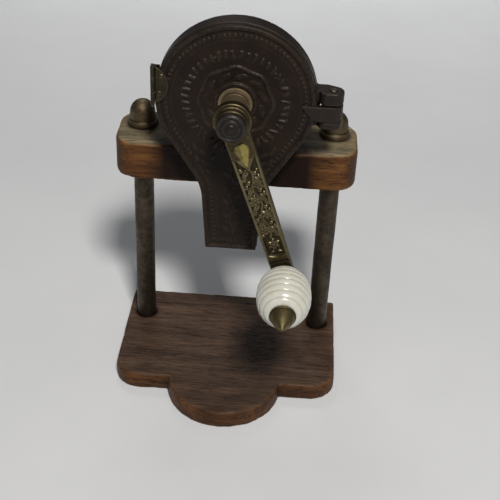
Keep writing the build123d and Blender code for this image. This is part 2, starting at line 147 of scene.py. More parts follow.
def densify(points, step, closed=False):
    pts = [np.array(p, float) for p in points]
    if closed:
        pts = pts + [pts[0]]
    out = []
    for a, b in zip(pts[:-1], pts[1:]):
        k = max(1, int(math.ceil(np.linalg.norm(b - a) / step)))
        out += [a + (b - a) * j / k for j in range(k)]
    if not closed:
        out.append(pts[-1])
    return out


def lathe(profile, origin, axis, segs=96, closed=False, shape=None):
    """Vertices and faces of a turned shape. profile holds (radius, distance along the axis); closed joins its ends (a ring)."""
    axis = np.array(axis, float)
    e1 = np.array([1.0, 0, 0])
    e2 = np.cross(axis, e1)
    origin = np.array(origin, float)
    prof = np.array(profile, float)
    n = len(prof)
    ang = np.arange(segs) / segs * TAU
    ring = np.cos(ang)[:, None] * e1 + np.sin(ang)[:, None] * e2
    R = np.repeat(prof[:, :1], segs, 1)
    if shape is not None:
        R = shape(R, np.repeat(prof[:, 1:], segs, 1), np.repeat(ang[None], n, 0))
    V = (origin + R[..., None] * ring[None] + prof[:, 1][:, None, None] * axis).reshape(-1, 3)
    F = []
    rows = range(n if closed else n - 1)
    for j in rows:
        k = (j + 1) % n
        for i in range(segs):
            i2 = (i + 1) % segs
            F.append((j * segs + i, j * segs + i2, k * segs + i2, k * segs + i))
    if not closed:
        for end, row in ((0, 0), (1, n - 1)):
            if prof[row, 0] < 1e-6:
                pole = len(V)
                V = np.vstack([V, origin + prof[row, 1] * axis])
                new = []
                for f in F:
                    if row == 0 and f[0] < segs:
                        i = f[0]
                        new.append((pole, f[2], f[3]))
                    elif row == n - 1 and f[2] >= (n - 1) * segs and f[2] < n * segs:
                        new.append((f[0], f[1], pole))
                    else:
                        new.append(f)
                F = new
            else:
                F.append(tuple(range(row * segs, (row + 1) * segs)))
        used = sorted({i for f in F for i in f})
        lookup = {v: k for k, v in enumerate(used)}
        V = V[used]
        F = [tuple(lookup[i] for i in f) for f in F]
    return V, F


def prism(poly, a, b, frame_fn):
    """A straight prism over a convex 2-D polygon, from level a to level b."""
    n = len(poly)
    V = [frame_fn(p[0], p[1], a) for p in poly] + [frame_fn(p[0], p[1], b) for p in poly]
    F = [tuple(range(n)), tuple(range(2 * n - 1, n - 1, -1))]
    F += [(i, (i + 1) % n, n + (i + 1) % n, n + i) for i in range(n)]
    return np.array(V, float), F


def arrays(me):
    V = np.empty(len(me.vertices) * 3, np.float64)
    me.vertices.foreach_get("co", V)
    E = np.empty(len(me.edges) * 2, np.int64)
    me.edges.foreach_get("vertices", E)
    N = np.empty(len(me.vertices) * 3, np.float64)
    me.vertices.foreach_get("normal", N)
    return V.reshape(-1, 3) / MM, E.reshape(-1, 2), N.reshape(-1, 3)


def mean_of_neighbours(X, E, deg):
    out = np.empty_like(X)
    for c in range(X.shape[1]):
        out[:, c] = np.bincount(E[:, 0], X[E[:, 1], c], len(X)) + np.bincount(E[:, 1], X[E[:, 0], c], len(X))
    return out / deg[:, None]


def soften(name, sources, voxel, smooth=6, shrink=0.0, shape=None, keep_z0=False):
    """One closed skin over the source meshes, remeshed on a fine grid, with worn, softened edges.
    shape(V, N, convex) returns how far each vertex moves along its normal, in mm. Stores convex and hollow as attributes."""
    me = bpy.data.meshes.new(name)
    bm = bmesh.new()
    for s in sources:
        if isinstance(s, bpy.types.Object):
            bm.from_mesh(s.data)
        else:
            tmp = bpy.data.meshes.new("tmp")
            tmp.from_pydata([tuple(v) for v in (np.asarray(s[0]) * MM).tolist()], [], [tuple(f) for f in s[1]])
            b2 = bmesh.new()
            b2.from_mesh(tmp)
            bmesh.ops.recalc_face_normals(b2, faces=b2.faces)
            b2.to_mesh(tmp)
            b2.free()
            bm.from_mesh(tmp)
            bpy.data.meshes.remove(tmp)
    bmesh.ops.remove_doubles(bm, verts=bm.verts, dist=1e-7)
    bm.to_mesh(me)
    bm.free()
    me.materials.clear()
    o = bpy.data.objects.new(name, me)
    scene.collection.objects.link(o)
    mod = o.modifiers.new("voxels", "REMESH")
    mod.mode = "VOXEL"
    mod.voxel_size = voxel * MM
    mod.adaptivity = 0
    dg = bpy.context.evaluated_depsgraph_get()
    fine = bpy.data.meshes.new_from_object(o.evaluated_get(dg))
    o.modifiers.clear()
    old = o.data
    o.data = fine
    bpy.data.meshes.remove(old)
    fine.name = name
    V, E, _ = arrays(fine)
    deg = np.maximum(np.bincount(E.ravel(), minlength=len(V)), 1).astype(float)
    for _ in range(smooth):
        V += 0.55 * (mean_of_neighbours(V, E, deg) - V)
        V -= 0.50 * (mean_of_neighbours(V, E, deg) - V) * 0.6
    fine.vertices.foreach_set("co", (V * MM).ravel())
    fine.update()
    V, E, N = arrays(fine)
    lap = np.einsum("ij,ij->i", mean_of_neighbours(V, E, deg) - V, N)[:, None] / voxel
    for _ in range(4):
        lap = mean_of_neighbours(lap, E, deg)
    c = lap[:, 0]
    convex, hollow = np.clip(-c * 14, 0, 1), np.clip(c * 14, 0, 1)
    if shape is not None:
        V = V + N * shape(V, N, convex)[:, None]
    if keep_z0:
        V[:, 2] = np.maximum(V[:, 2], 0.0)
    fine.vertices.foreach_set("co", (V * MM).ravel())
    for key, values in (("convex", convex), ("hollow", hollow)):
        a = fine.attributes.new(key, "FLOAT", "POINT")
        a.data.foreach_set("value", values.astype(np.float32))
    fine.update()
    fine.shade_smooth()
    return o


# ------------------------------------------------------------ node helpers
class Mat:
    """A small writer of node materials."""

    def __init__(self, name):
        self.m = bpy.data.materials.new(name)
        self.m.use_nodes = True
        self.t = self.m.node_tree
        self.t.nodes.clear()
        self.out = self.t.nodes.new("ShaderNodeOutputMaterial")
        self.p = self.t.nodes.new("ShaderNodeBsdfPrincipled")
        self.t.links.new(self.p.outputs[0], self.out.inputs[0])
        self.obj = self.t.nodes.new("ShaderNodeTexCoord").outputs["Object"]
        self.bumps = []

    def link(self, a, b):
        if hasattr(a, "is_output") or isinstance(a, bpy.types.NodeSocket):
            self.t.links.new(a, b)
        else:
            b.default_value = a

    def stretch(self, x, y, z, rot=(0, 0, 0), off=(0, 0, 0)):
        n = self.t.nodes.new("ShaderNodeMapping")
        n.inputs["Scale"].default_value = (x, y, z)
        n.inputs["Rotation"].default_value = rot
        n.inputs["Location"].default_value = off
        self.t.links.new(self.obj, n.inputs[0])
        return n.outputs[0]

    def noise(self, scale=1.0, detail=4.0, rough=0.55, vec=None, distort=0.0):
        n = self.t.nodes.new("ShaderNodeTexNoise")
        n.inputs["Scale"].default_value = scale
        n.inputs["Detail"].default_value = detail
        n.inputs["Roughness"].default_value = rough
        n.inputs["Distortion"].default_value = distort
        self.t.links.new(vec if vec is not None else self.obj, n.inputs["Vector"])
        return n.outputs[0]

    def voronoi(self, scale, vec=None, feature="F1", out="Distance", rand=1.0):
        n = self.t.nodes.new("ShaderNodeTexVoronoi")
        n.feature = feature
        n.inputs["Scale"].default_value = scale
        n.inputs["Randomness"].default_value = rand
        self.t.links.new(vec if vec is not None else self.obj, n.inputs["Vector"])
        return n.outputs[out]

    def attr(self, name):
        n = self.t.nodes.new("ShaderNodeAttribute")
        n.attribute_type = "GEOMETRY"
        n.attribute_name = name
        return n.outputs["Fac"]

    def ramp(self, fac, stops, interp="LINEAR"):
        n = self.t.nodes.new("ShaderNodeValToRGB")
        n.color_ramp.interpolation = interp
        el = n.color_ramp.elements
        while len(el) > 1:
            el.remove(el[-1])
        for i, (pos, c) in enumerate(stops):
            e = el[0] if i == 0 else el.new(pos)
            e.position = pos
            c = (c, c, c) if np.isscalar(c) else c
            e.color = (*c[:3], 1)
        self.link(fac, n.inputs[0])
        return n.outputs[0]

    def math(self, op, a, b=0.0, c=0.0, clamp=False):
        n = self.t.nodes.new("ShaderNodeMath")
        n.operation = op
        n.use_clamp = clamp
        self.link(a, n.inputs[0])
        self.link(b, n.inputs[1])
        if op in ("MULTIPLY_ADD",):
            self.link(c, n.inputs[2])
        return n.outputs[0]

    def rng(self, v, a, b, c=0.0, d=1.0):
        n = self.t.nodes.new("ShaderNodeMapRange")
        n.clamp = True
        self.link(v, n.inputs[0])
        for k, x in zip((1, 2, 3, 4), (a, b, c, d)):
            n.inputs[k].default_value = x
        return n.outputs[0]

    def mix(self, fac, a, b, blend="MIX"):
        n = self.t.nodes.new("ShaderNodeMix")
        n.data_type = "RGBA"
        n.blend_type = blend
        n.clamp_factor = True
        self.link(fac, n.inputs[0])
        for s, k in ((a, 6), (b, 7)):
            if isinstance(s, tuple):
                n.inputs[k].default_value = (*s[:3], 1)
            else:
                self.link(s, n.inputs[k])
        return n.outputs[2]

    def normal_part(self, axis):
        g = self.t.nodes.new("ShaderNodeNewGeometry")
        s = self.t.nodes.new("ShaderNodeSeparateXYZ")
        self.t.links.new(g.outputs["Normal"], s.inputs[0])
        return s.outputs[axis]

    def place_part(self, axis):
        s = self.t.nodes.new("ShaderNodeSeparateXYZ")
        self.t.links.new(self.obj, s.inputs[0])
        return s.outputs[axis]

    def bump(self, height, strength=0.3, dist=0.1):
        n = self.t.nodes.new("ShaderNodeBump")
        n.inputs["Strength"].default_value = strength
        n.inputs["Distance"].default_value = dist * MM
        self.link(height, n.inputs["Height"])
        if self.bumps:
            self.t.links.new(self.bumps[-1], n.inputs["Normal"])
        self.bumps.append(n.outputs[0])

    def done(self, color, rough, metallic=0.0, spec=0.5, **fixed):
        self.link(color if not isinstance(color, tuple) else (*color, 1), self.p.inputs["Base Color"])
        self.link(rough, self.p.inputs["Roughness"])
        self.link(metallic, self.p.inputs["Metallic"])
        self.p.inputs["Specular IOR Level"].default_value = spec
        for k, v in fixed.items():
            self.p.inputs[k.replace("_", " ")].default_value = v
        if self.bumps:
            self.t.links.new(self.bumps[-1], self.p.inputs["Normal"])
        return self.m


# ---------------------------------------------------------------- materials
def wood(name, dark, mid, light, top, top_amount, streak=0.5, blot=0.5, seed=0.0):
    """Old oiled wood, grain along X, darker and dustier on upward faces, rubbed lighter on its edges."""
    m = Mat(name)
    bend = m.noise(1.0, 2, 0.5, m.stretch(22, 60, 60, off=(seed, seed, 0)))
    warped = m.t.nodes.new("ShaderNodeVectorMath")
    warped.operation = "MULTIPLY_ADD"
    m.t.links.new(bend, warped.inputs[0])
    warped.inputs[1].default_value = (0.0, 0.004, 0.004)
    m.t.links.new(m.obj, warped.inputs[2])

    def along(x, y, z):
        n = m.t.nodes.new("ShaderNodeMapping")
        n.inputs["Scale"].default_value = (x, y, z)
        n.inputs["Location"].default_value = (seed, seed * 2, seed * 3)
        m.t.links.new(warped.outputs[0], n.inputs[0])
        return n.outputs[0]

    figure = m.noise(1.0, 3, 0.5, along(14, 190, 230))
    grain = m.noise(1.0, 6, 0.68, along(40, 820, 900))
    pores = m.noise(1.0, 3, 0.65, along(170, 1500, 1500))
    blotch = m.noise(1.0, 4, 0.6, m.stretch(38, 52, 52, off=(seed * 5, 0, 0)))
    body = m.math("MULTIPLY_ADD", grain, 0.55, m.math("MULTIPLY", figure, 0.5))
    col = m.ramp(body, [(0.30, dark), (0.50, mid), (0.68, light), (0.80, tuple(1.25 * c for c in light))])
    dark_pores = m.rng(pores, 0.55, 0.66, 0, streak)
    col = m.mix(dark_pores, col, tuple(0.22 * c for c in dark))
    col = m.mix(m.rng(blotch, 0.50, 0.72, 0, blot), col, tuple(0.45 * c for c in dark))
    up = m.rng(m.normal_part("Z"), 0.35, 0.92)
    topcol = m.ramp(m.math("MULTIPLY_ADD", grain, 0.7, m.math("MULTIPLY", figure, 0.35)), [(0.34, tuple(0.34 * c for c in top)), (0.52, tuple(0.80 * c for c in top)), (0.66, tuple(1.30 * c for c in top)), (0.78, tuple(2.0 * c for c in top))])
    topcol = m.mix(m.rng(blotch, 0.48, 0.70, 0, blot), topcol, tuple(0.35 * c for c in top))
    topcol = m.mix(m.math("MULTIPLY", dark_pores, 0.9), topcol, tuple(0.18 * c for c in top))
    col = m.mix(m.math("MULTIPLY", up, top_amount), col, topcol)
    # darken the wood by the stored painted shade and dirt
    col = m.mix(m.attr("dirt_and_painted_shade"), col, tuple(0.30 * c for c in dark))
    rub = m.math("MULTIPLY", m.rng(m.attr("convex"), 0.15, 0.8), m.rng(m.noise(160, 3), 0.35, 0.65))
    col = m.mix(m.math("MULTIPLY", rub, 0.34), col, tuple(1.2 * c for c in light))
    col = m.mix(m.math("MULTIPLY", m.attr("hollow"), 0.8), col, tuple(0.15 * c for c in dark))
    rough = m.math("MULTIPLY_ADD", grain, 0.28, m.rng(blotch, 0.3, 0.7, 0.40, 0.30))
    m.bump(m.math("SUBTRACT", grain, m.math("MULTIPLY", dark_pores, 0.9)), 0.55, 0.30)
    m.bump(m.noise(1.0, 4, 0.6, m.stretch(700, 2600, 2600)), 0.18, 0.06)
    return m.done(col, rough, 0.0, 0.16)


def japan(name, base=(0.0100, 0.0066, 0.0048), worn=(0.056, 0.042, 0.033), rough0=0.42, relief=False, brown=0.6, spec=0.15):
    """Black-brown stoved finish over cast iron: glossy skin, thin on high places, dull in the hollows."""
    m = Mat(name)
    big = m.noise(95, 4, 0.6)
    fine = m.noise(900, 4, 0.65)
    grit = m.noise(3800, 3, 0.6)
    col = m.mix(m.rng(big, 0.35, 0.68, 0, brown), base, (0.0225, 0.0125, 0.0075))
    high = m.rng(m.attr("convex"), 0.12, 0.75)
    if relief:
        high = m.math("MAXIMUM", high, m.rng(m.attr("relief"), 0.35, 0.95))
    rubbed = m.math("MULTIPLY", high, m.rng(fine, 0.36, 0.62), clamp=True)
    col = m.mix(m.math("MULTIPLY", rubbed, 0.75), col, worn)
    dust = m.math("MULTIPLY", m.attr("hollow"), m.rng(fine, 0.35, 0.6), clamp=True)
    col = m.mix(m.math("MULTIPLY", dust, 0.35), col, (0.030, 0.023, 0.017))
    specks = m.rng(grit, 0.68, 0.78, 0, 0.6)
    col = m.mix(specks, col, (0.07, 0.052, 0.038))
    rough = m.math("ADD", m.math("MULTIPLY_ADD", fine, 0.30, rough0 - 0.15), m.rng(big, 0.3, 0.7, 0.0, 0.14))
    metal = m.math("MULTIPLY", rubbed, 0.55)
    m.bump(fine, 0.30, 0.10)
    m.bump(grit, 0.22, 0.035)
    return m.done(col, rough, metal, spec)


def metal(name, base, dull, dark, rough=0.34, tarnish=0.5, lines=None, hollow_dark=0.9, spec=0.5):
    """Bare metal that has been handled: bright where rubbed, tarnished in patches, dirt in the hollows."""
    m = Mat(name)
    patch = m.noise(170, 5, 0.62, distort=0.4)
    cloud = m.noise(620, 4, 0.6)
    grit = m.noise(3600, 3, 0.6)
    col = m.mix(m.rng(patch, 0.36, 0.64, 0, tarnish), base, dull)
    col = m.mix(m.rng(cloud, 0.56, 0.74, 0, tarnish * 0.8), col, dark)
    high = m.rng(m.attr("convex"), 0.1, 0.7)
    col = m.mix(m.math("MULTIPLY", high, 0.6), col, tuple(min(1, 1.5 * c) for c in base))
    col = m.mix(m.math("MULTIPLY", m.attr("hollow"), hollow_dark), col, tuple(0.35 * c for c in dark))
    r = m.math("ADD", m.math("MULTIPLY_ADD", cloud, 0.30, rough - 0.15), m.rng(patch, 0.3, 0.7, 0, 0.16))
    if lines is not None:
        n = m.noise(1.0, 3, 0.6, m.stretch(*lines))
        m.bump(n, 0.25, 0.05)
        r = m.math("MULTIPLY_ADD", n, 0.14, m.math("SUBTRACT", r, 0.07))
    m.bump(cloud, 0.16, 0.06)
    m.bump(grit, 0.16, 0.025)
    return m.done(col, r, 1.0, spec)


mat_base = wood("base_wood", (0.023, 0.0100, 0.0046), (0.077, 0.0310, 0.0106), (0.160, 0.065, 0.0185), (0.112, 0.068, 0.046), 0.92, 0.75, 0.62, 0.0)
mat_rail = wood("rail_wood", (0.034, 0.0118, 0.0042), (0.100, 0.038, 0.0108), (0.192, 0.082, 0.0215), (0.235, 0.195, 0.118), 0.85, 0.75, 0.45, 3.7)
mat_pillar = metal("pillar_steel", (0.105, 0.084, 0.063), (0.055, 0.043, 0.033), (0.024, 0.0185, 0.0138), 0.44, 0.9, (700, 700, 45))
mat_nut = metal("nut_brass", (0.205, 0.153, 0.089), (0.102, 0.075, 0.044), (0.036, 0.026, 0.016), 0.46, 0.95)
mat_screw = metal("screw_steel", (0.30, 0.29, 0.27), (0.17, 0.15, 0.13), (0.06, 0.045, 0.035), 0.38, 0.6, (2500, 2500, 2500))
mat_pin = metal("pin_steel", (0.165, 0.138, 0.098), (0.085, 0.070, 0.050), (0.035, 0.027, 0.019), 0.40, 0.75, (2500, 2500, 120))
mat_grind = metal("grinder_steel", (0.34, 0.33, 0.32), (0.19, 0.17, 0.15), (0.06, 0.045, 0.03), 0.36, 0.7, (2200, 300, 2200))
mat_bush = metal("bush_brass", (0.300, 0.225, 0.133), (0.186, 0.141, 0.090), (0.080, 0.058, 0.038), 0.56, 0.8, (90, 3000, 90))
mat_catch = metal("catch_brass", (0.075, 0.064, 0.040), (0.040, 0.033, 0.024), (0.018, 0.015, 0.011), 0.42, 0.8, (300, 300, 2600))
mat_rivet = metal("rivet_brass", (0.115, 0.094, 0.054), (0.060, 0.048, 0.029), (0.025, 0.020, 0.012), 0.42, 0.7)
mat_spindle = metal("spindle_steel", (0.42, 0.40, 0.37), (0.24, 0.22, 0.19), (0.09, 0.07, 0.05), 0.28, 0.5, (60, 3000, 60))
mat_washer = metal("washer_brass", (0.46, 0.35, 0.17), (0.25, 0.18, 0.09), (0.08, 0.055, 0.03), 0.30, 0.6)
mat_collar = metal("collar_brass", (0.180, 0.145, 0.070), (0.100, 0.080, 0.038), (0.042, 0.034, 0.018), 0.50, 0.75, (60, 3200, 60))
mat_case = japan("case_iron", (0.0092, 0.0062, 0.0048), (0.046, 0.036, 0.029), spec=0.30)
mat_cover = japan("cover_iron", relief=True, rough0=0.38)
mat_cap = japan("cap_iron", (0.013, 0.0102, 0.0090), (0.066, 0.056, 0.048), 0.36, brown=0.25, spec=0.22)


def crank_brass():
    m = Mat("crank_brass")
    patch = m.noise(150, 5, 0.6, distort=0.3)
    cloud = m.noise(700, 4, 0.62)
    grit = m.noise(3600, 3, 0.6)
    raised = m.attr("relief")
    base = m.mix(m.rng(patch, 0.35, 0.65), (0.215, 0.180, 0.096), (0.136, 0.112, 0.060))
    mid = m.mix(m.rng(cloud, 0.4, 0.62), (0.120, 0.094, 0.052), (0.062, 0.048, 0.029))
    deep = m.mix(m.rng(cloud, 0.4, 0.65), (0.072, 0.057, 0.033), (0.040, 0.031, 0.019))
    edge = m.math("ADD", raised, m.math("MULTIPLY_ADD", cloud, 0.36, -0.18))
    col = m.mix(m.rng(edge, 0.10, 0.42), deep, mid)
    col = m.mix(m.rng(edge, 0.48, 0.92), col, base)
    # bright polish colour where the stored polish and painted highlight say so
    col = m.mix(m.attr("polish_and_painted_highlight"), col, m.mix(m.rng(cloud, 0.4, 0.7), (0.430, 0.365, 0.120), (0.300, 0.250, 0.085)))
    rough = m.math("ADD", m.rng(edge, 0.1, 0.9, 0.60, 0.36), m.math("MULTIPLY_ADD", cloud, 0.22, -0.11))
    m.bump(cloud, 0.18, 0.06)
    m.bump(grit, 0.15, 0.025)
    return m.done(col, rough, 1.0, 0.5)


mat_crank = crank_brass()


def porcelain():
    """Cream glaze over white clay: shiny, brown in the grooves, stained and crazed."""
    m = Mat("knob_porcelain")
    tone = m.noise(120, 4, 0.6)
    stain = m.noise(260, 4, 0.6, m.stretch(1, 1, 1, off=(0.3, 0.1, 0.2)))
    craze = m.voronoi(420, feature="DISTANCE_TO_EDGE")
    craze2 = m.voronoi(900, feature="DISTANCE_TO_EDGE")
    col = m.mix(m.rng(tone, 0.34, 0.68), (0.700, 0.700, 0.630), (0.620, 0.600, 0.510))
    groove = m.math("MULTIPLY", m.attr("hollow"), m.rng(stain, 0.25, 0.62, 0.25, 1.0))
    col = m.mix(m.math("MULTIPLY", groove, 0.72), col, (0.400, 0.330, 0.215))
    col = m.mix(m.rng(stain, 0.58, 0.75, 0, 0.45), col, (0.600, 0.520, 0.370))
    line = m.math("MAXIMUM", m.rng(craze, 0.0, 0.018, 0.30, 0), m.rng(craze2, 0.0, 0.02, 0.14, 0))
    col = m.mix(line, col, (0.33, 0.26, 0.17))
    rough = m.rng(tone, 0.3, 0.7, 0.16, 0.30)
    m.bump(m.noise(520, 3, 0.5), 0.10, 0.12)
    m.bump(line, -0.12, 0.02)
    return m.done(col, rough, 0.0, 0.5, Subsurface_Weight=0.18, Subsurface_Radius=(1.0, 0.8, 0.55), Subsurface_Scale=0.0012, Coat_Weight=0.35, Coat_Roughness=0.08)


mat_knob = porcelain()


# -------------------------------------------------------------- wooden parts
def wood_shape(seed, dents, depth=0.35):
    rng = np.random.RandomState(seed)

    def shape(V, N, convex):
        grain = fbm(V * [0.035, 0.75, 0.75], 3, seed)
        pore = fbm(V * [0.10, 2.4, 2.4], 2, seed + 5)
        d = -0.05 + 0.05 * grain - 0.07 * sstep(0.25, 0.7, pore)
        d -= 0.14 * np.clip(fbm(V * 0.11, 2, seed + 9) + 0.2, 0, 1) * (0.35 + convex)
        d -= 0.30 * convex * np.clip(fbm(V * 0.32, 3, seed + 3) + 0.15, 0, 1)
        worn = np.where(convex > 0.35)[0]
        picks = rng.choice(worn, min(dents, len(worn)), replace=False)
        for k in picks:
            r = rng.uniform(0.7, 2.2)
            dist = np.linalg.norm((V - V[k]) * [0.6, 1, 1], axis=1)
            d -= depth * rng.uniform(0.4, 1.0) * np.exp(-((dist / r) ** 2) * 2.2)
        flat = np.where((convex < 0.05) & (np.abs(N[:, 2]) > 0.8) & (N[:, 2] > 0))[0]
        if len(flat):
            for k in rng.choice(flat, 26, replace=False):
                r = rng.uniform(0.5, 1.6)
                a = rng.uniform(-0.5, 0.5)
                q = V - V[k]
                q = np.stack([q[:, 0] * math.cos(a) + q[:, 1] * math.sin(a), (q[:, 1] * math.cos(a) - q[:, 0] * math.sin(a)) * 2.4, q[:, 2]], 1)
                d -= 0.16 * np.exp(-(np.linalg.norm(q, axis=1) / r) ** 2)
        return np.minimum(d, 0.0)

    return shape


N = frame["nodes"]
base = soften("base_board_wood", [N["base_board"]], 0.55, 5, shape=wood_shape(3, 46, 0.42), keep_z0=True)
place(base, "stand", "base_wood", mat_base, "base_board")
rail = soften("top_rail_wood", [N["top_rail"]], 0.50, 7, shape=wood_shape(8, 34, 0.35))
place(rail, "stand", "rail_wood", mat_rail, "top_rail")



def dirt_and_painted_shade(o, fn):
    """Store painted shade and dirt on a wooden part as one attribute; clear the rubbed look round its holes."""
    V, _, n = arrays(o.data)
    keep = sstep(6.0, 7.5, np.hypot(np.abs(V[:, 0]) - 40.0, V[:, 1]))
    conv = np.empty(len(V), np.float32)
    o.data.attributes["convex"].data.foreach_get("value", conv)
    o.data.attributes["convex"].data.foreach_set("value", (conv * keep).astype(np.float32))
    a = o.data.attributes.new("dirt_and_painted_shade", "FLOAT", "POINT")
    a.data.foreach_set("value", np.clip(fn(V, n), 0, 1).astype(np.float32))


# Painted shade and dirt on the base board: a painted shadow of the knob and arm, partly a real stain; darker towards
# the back and the left of the top; a dark ring round each pillar's foot; darker along the bottom 2.5 mm; random dirt.
def base_dirt_and_painted_shade(V, n):
    wob = fbm(V * 0.07, 3, 201)
    # painted shadow of the knob and arm on the base top, partly a real stain
    knob_shadow_and_stain = np.exp(-(((V[:, 0] - 13.0) / 16.0) ** 2 + ((V[:, 1] + 31.0) / 21.0) ** 2) ** 1.3)
    far = 0.45 * sstep(-2, 12, V[:, 1])
    foot = 0.7 * np.exp(-((np.hypot(np.abs(V[:, 0]) - 40.0, V[:, 1]) - 4.3) / 1.5) ** 2)
    return (0.42 * knob_shadow_and_stain + 0.22 * far) * (1 + 0.5 * wob) * (n[:, 2] > 0.3) + foot + 0.22 * sstep(0.15, 0.6, wob) + 0.5 * sstep(2.5, 0.3, V[:, 2]) + 0.16 * sstep(22, -12, V[:, 0]) * (n[:, 2] > 0.3)


# Painted shade and dirt on the rail: painted shade of the drum case mixed with dirt, darkest on the front face beside
# the case; darker side faces at the rounded ends and on the right; a dark ring round each cap nut; random dirt.
def rail_dirt_and_painted_shade(V, n):
    wob = fbm(V * [0.06, 0.12, 0.12], 3, 207)
    x = np.abs(V[:, 0])
    # painted shade cast by the drum case, mixed with dirt, near the case and strongest on the front face
    case_shade_and_dirt = 0.75 * sstep(37, 25, x) * sstep(-5.0, -17.0, V[:, 1]) + 0.45 * sstep(40, 26, x)
    end = 0.42 * sstep(43.5, 49.0, x) * (n[:, 2] < 0.6)
    ring = 0.6 * np.exp(-((np.hypot(x - 40.0, V[:, 1]) - 6.3) / 1.0) ** 2)
    right = 0.08 * (V[:, 0] > 0) * (n[:, 2] < 0.6)
    return case_shade_and_dirt + end + ring + right + 0.25 * sstep(0.1, 0.6, wob)


dirt_and_painted_shade(base, base_dirt_and_painted_shade)
dirt_and_painted_shade(rail, rail_dirt_and_painted_shade)

# ------------------------------------------------------- pillars and cap nuts
for side, x in (("left", -40.0), ("right", 40.0)):
    prof = bezier_corners([(0, 5.05), (4.3, 5.05), (4.3, 89.75), (2.5, 89.75), (2.5, 112.4), (0, 112.4)], [0, 0.3, 0.15, 0.1, 0.4, 0], 4)
    prof = densify(prof, 0.8)
    seed = 21 if x < 0 else 34

    def uneven(R, A, ang, seed=seed):
        p = np.stack([np.cos(ang) * 1.1, np.sin(ang) * 1.1, A * 0.06], -1).reshape(-1, 3)
        q = np.stack([np.cos(ang) * 4.3, np.sin(ang) * 4.3, A * 0.9], -1).reshape(-1, 3)
        w = 0.035 * fbm(p, 2, seed) + 0.022 * fbm(q * 0.6, 3, seed + 2)
        return R * (1 + (w.reshape(R.shape) - 0.012) * (R > 0.5))

    V, F = lathe(prof, (x, 0, 0), (0, 0, 1), 72, shape=uneven)
    o = new_object(side + "_pillar_rod", V, F, {"convex": np.zeros(len(V)), "hollow": np.zeros(len(V))})
    place(o, "stand", "pillar_steel", mat_pillar, side + "_pillar")

    z = 106.5
    dome_r, dome_z = 5.28, 5.474
    prof = [(2.6, z + 0.04), (6.25, z + 0.04), (6.36, z + 0.3), (6.34, z + 0.9), (6.16, z + 1.7), (5.88, z + 2.45), (5.74, z + 2.75), (5.62, z + 2.9), (5.68, z + 3.05), (5.60, z + 3.5), (5.42, z + 4.7), (5.26, z + 6.0)]
    prof += [(dome_r * math.cos(t), z + dome_z + dome_r * math.sin(t)) for t in np.linspace(0.14, math.pi / 2 - 0.02, 26)]
    prof += [(0.0, z + dome_z + dome_r)]
    prof = [(0.0, z + 7.0), (2.6, z + 7.0)] + prof
    prof = densify(prof, 0.45)

    def hammered(R, A, ang, seed=seed):
        q = np.stack([np.cos(ang) * R, np.sin(ang) * R, A], -1).reshape(-1, 3)
        w = 0.05 * fbm(q * 0.35, 3, seed + 4) + 0.03 * fbm(q * 1.6, 2, seed + 6)
        return R + (w.reshape(R.shape) - 0.05) * (R > 3)

    V, F = lathe(prof, (x, 0, 0), (0, 0, 1), 96, shape=hammered)
    h = V[:, 2] - z
    hollow = 0.9 * np.exp(-(((h - 2.85) / 0.3) ** 2)) + 0.8 * np.exp(-((h / 0.35) ** 2))
    convex = 0.6 * np.exp(-(((h - 2.2) / 0.4) ** 2)) + 0.5 * sstep(8.8, 10.8, h)
    o = new_object(side + "_cap_nut_dome", V, F, {"convex": convex, "hollow": np.clip(hollow, 0, 1)}, 50)
    place(o, "stand", "nut_brass", mat_nut, side + "_cap_nut")


# ------------------------------------------------------------------ drum case
def cast_shape(seed, amount=1.0):
    def shape(V, N, convex):
        d = 0.045 * fbm(V * 0.16, 3, seed) + 0.030 * fbm(V * 0.8, 3, seed + 3) - 0.04
        pits = sstep(0.42, 0.62, fbm(V * 1.15, 2, seed + 6))
        return amount * (d - 0.07 * pits)

    return shape


case = soften("drum_case_casting", [N["drum_case"]], 0.34, 7, shape=cast_shape(40))
place(case, "stand", "case_iron", mat_case, "drum_case")


# ---------------------------------------------------------------- front cover
def keyhole(inset, step=0.3):
    """Dense outline of the keyhole, inset from the case's outline, from the mouth's right corner round the top."""
    a = math.radians(31.8)
    R = CASE_R
    t = np.array([R * math.cos(a), DRUM_Z - R * math.sin(a)])
    neck = np.array([13.08, 95.25])
    low = np.array([10.8, 65.4])
    u, v = (t - neck) / np.linalg.norm(t - neck), (low - neck) / np.linalg.norm(low - neck)
    half = math.acos(float(np.clip(u @ v, -1, 1))) / 2
    cut = 22.0 / math.tan(half)
    p0, p1 = neck + v * cut, neck + u * cut
    centre = neck + (u + v) / np.linalg.norm(u + v) * (22.0 / math.sin(half))
    pts = [low]
    pts += densify([low, p0], step)[1:]
    a0, a1 = math.atan2(*(p0 - centre)[::-1]), math.atan2(*(p1 - centre)[::-1])
    if a1 - a0 > math.pi:
        a1 -= TAU
    if a0 - a1 > math.pi:
        a1 += TAU
    k = max(3, int(abs(a1 - a0) * 22 / step))
    pts += [centre + 22.0 * np.array([math.cos(q), math.sin(q)]) for q in np.linspace(a0, a1, k + 1)[1:]]
    pts += densify([p1, t], step)[1:]
    k = int((math.pi / 2 + a) * R / step)
    pts += [np.array([R * math.cos(q), DRUM_Z + R * math.sin(q)]) for q in np.linspace(-a, math.pi / 2, k + 1)[1:]]
    right = np.array(pts)
    left = right[::-1][1:] * [-1, 1]
    loop = np.vstack([right, left])
    tang = np.gradient(loop, axis=0)
    nrm = np.stack([-tang[:, 1], tang[:, 0]], 1)
    nrm /= np.linalg.norm(nrm, axis=1)[:, None]
    return loop + nrm * inset, nrm


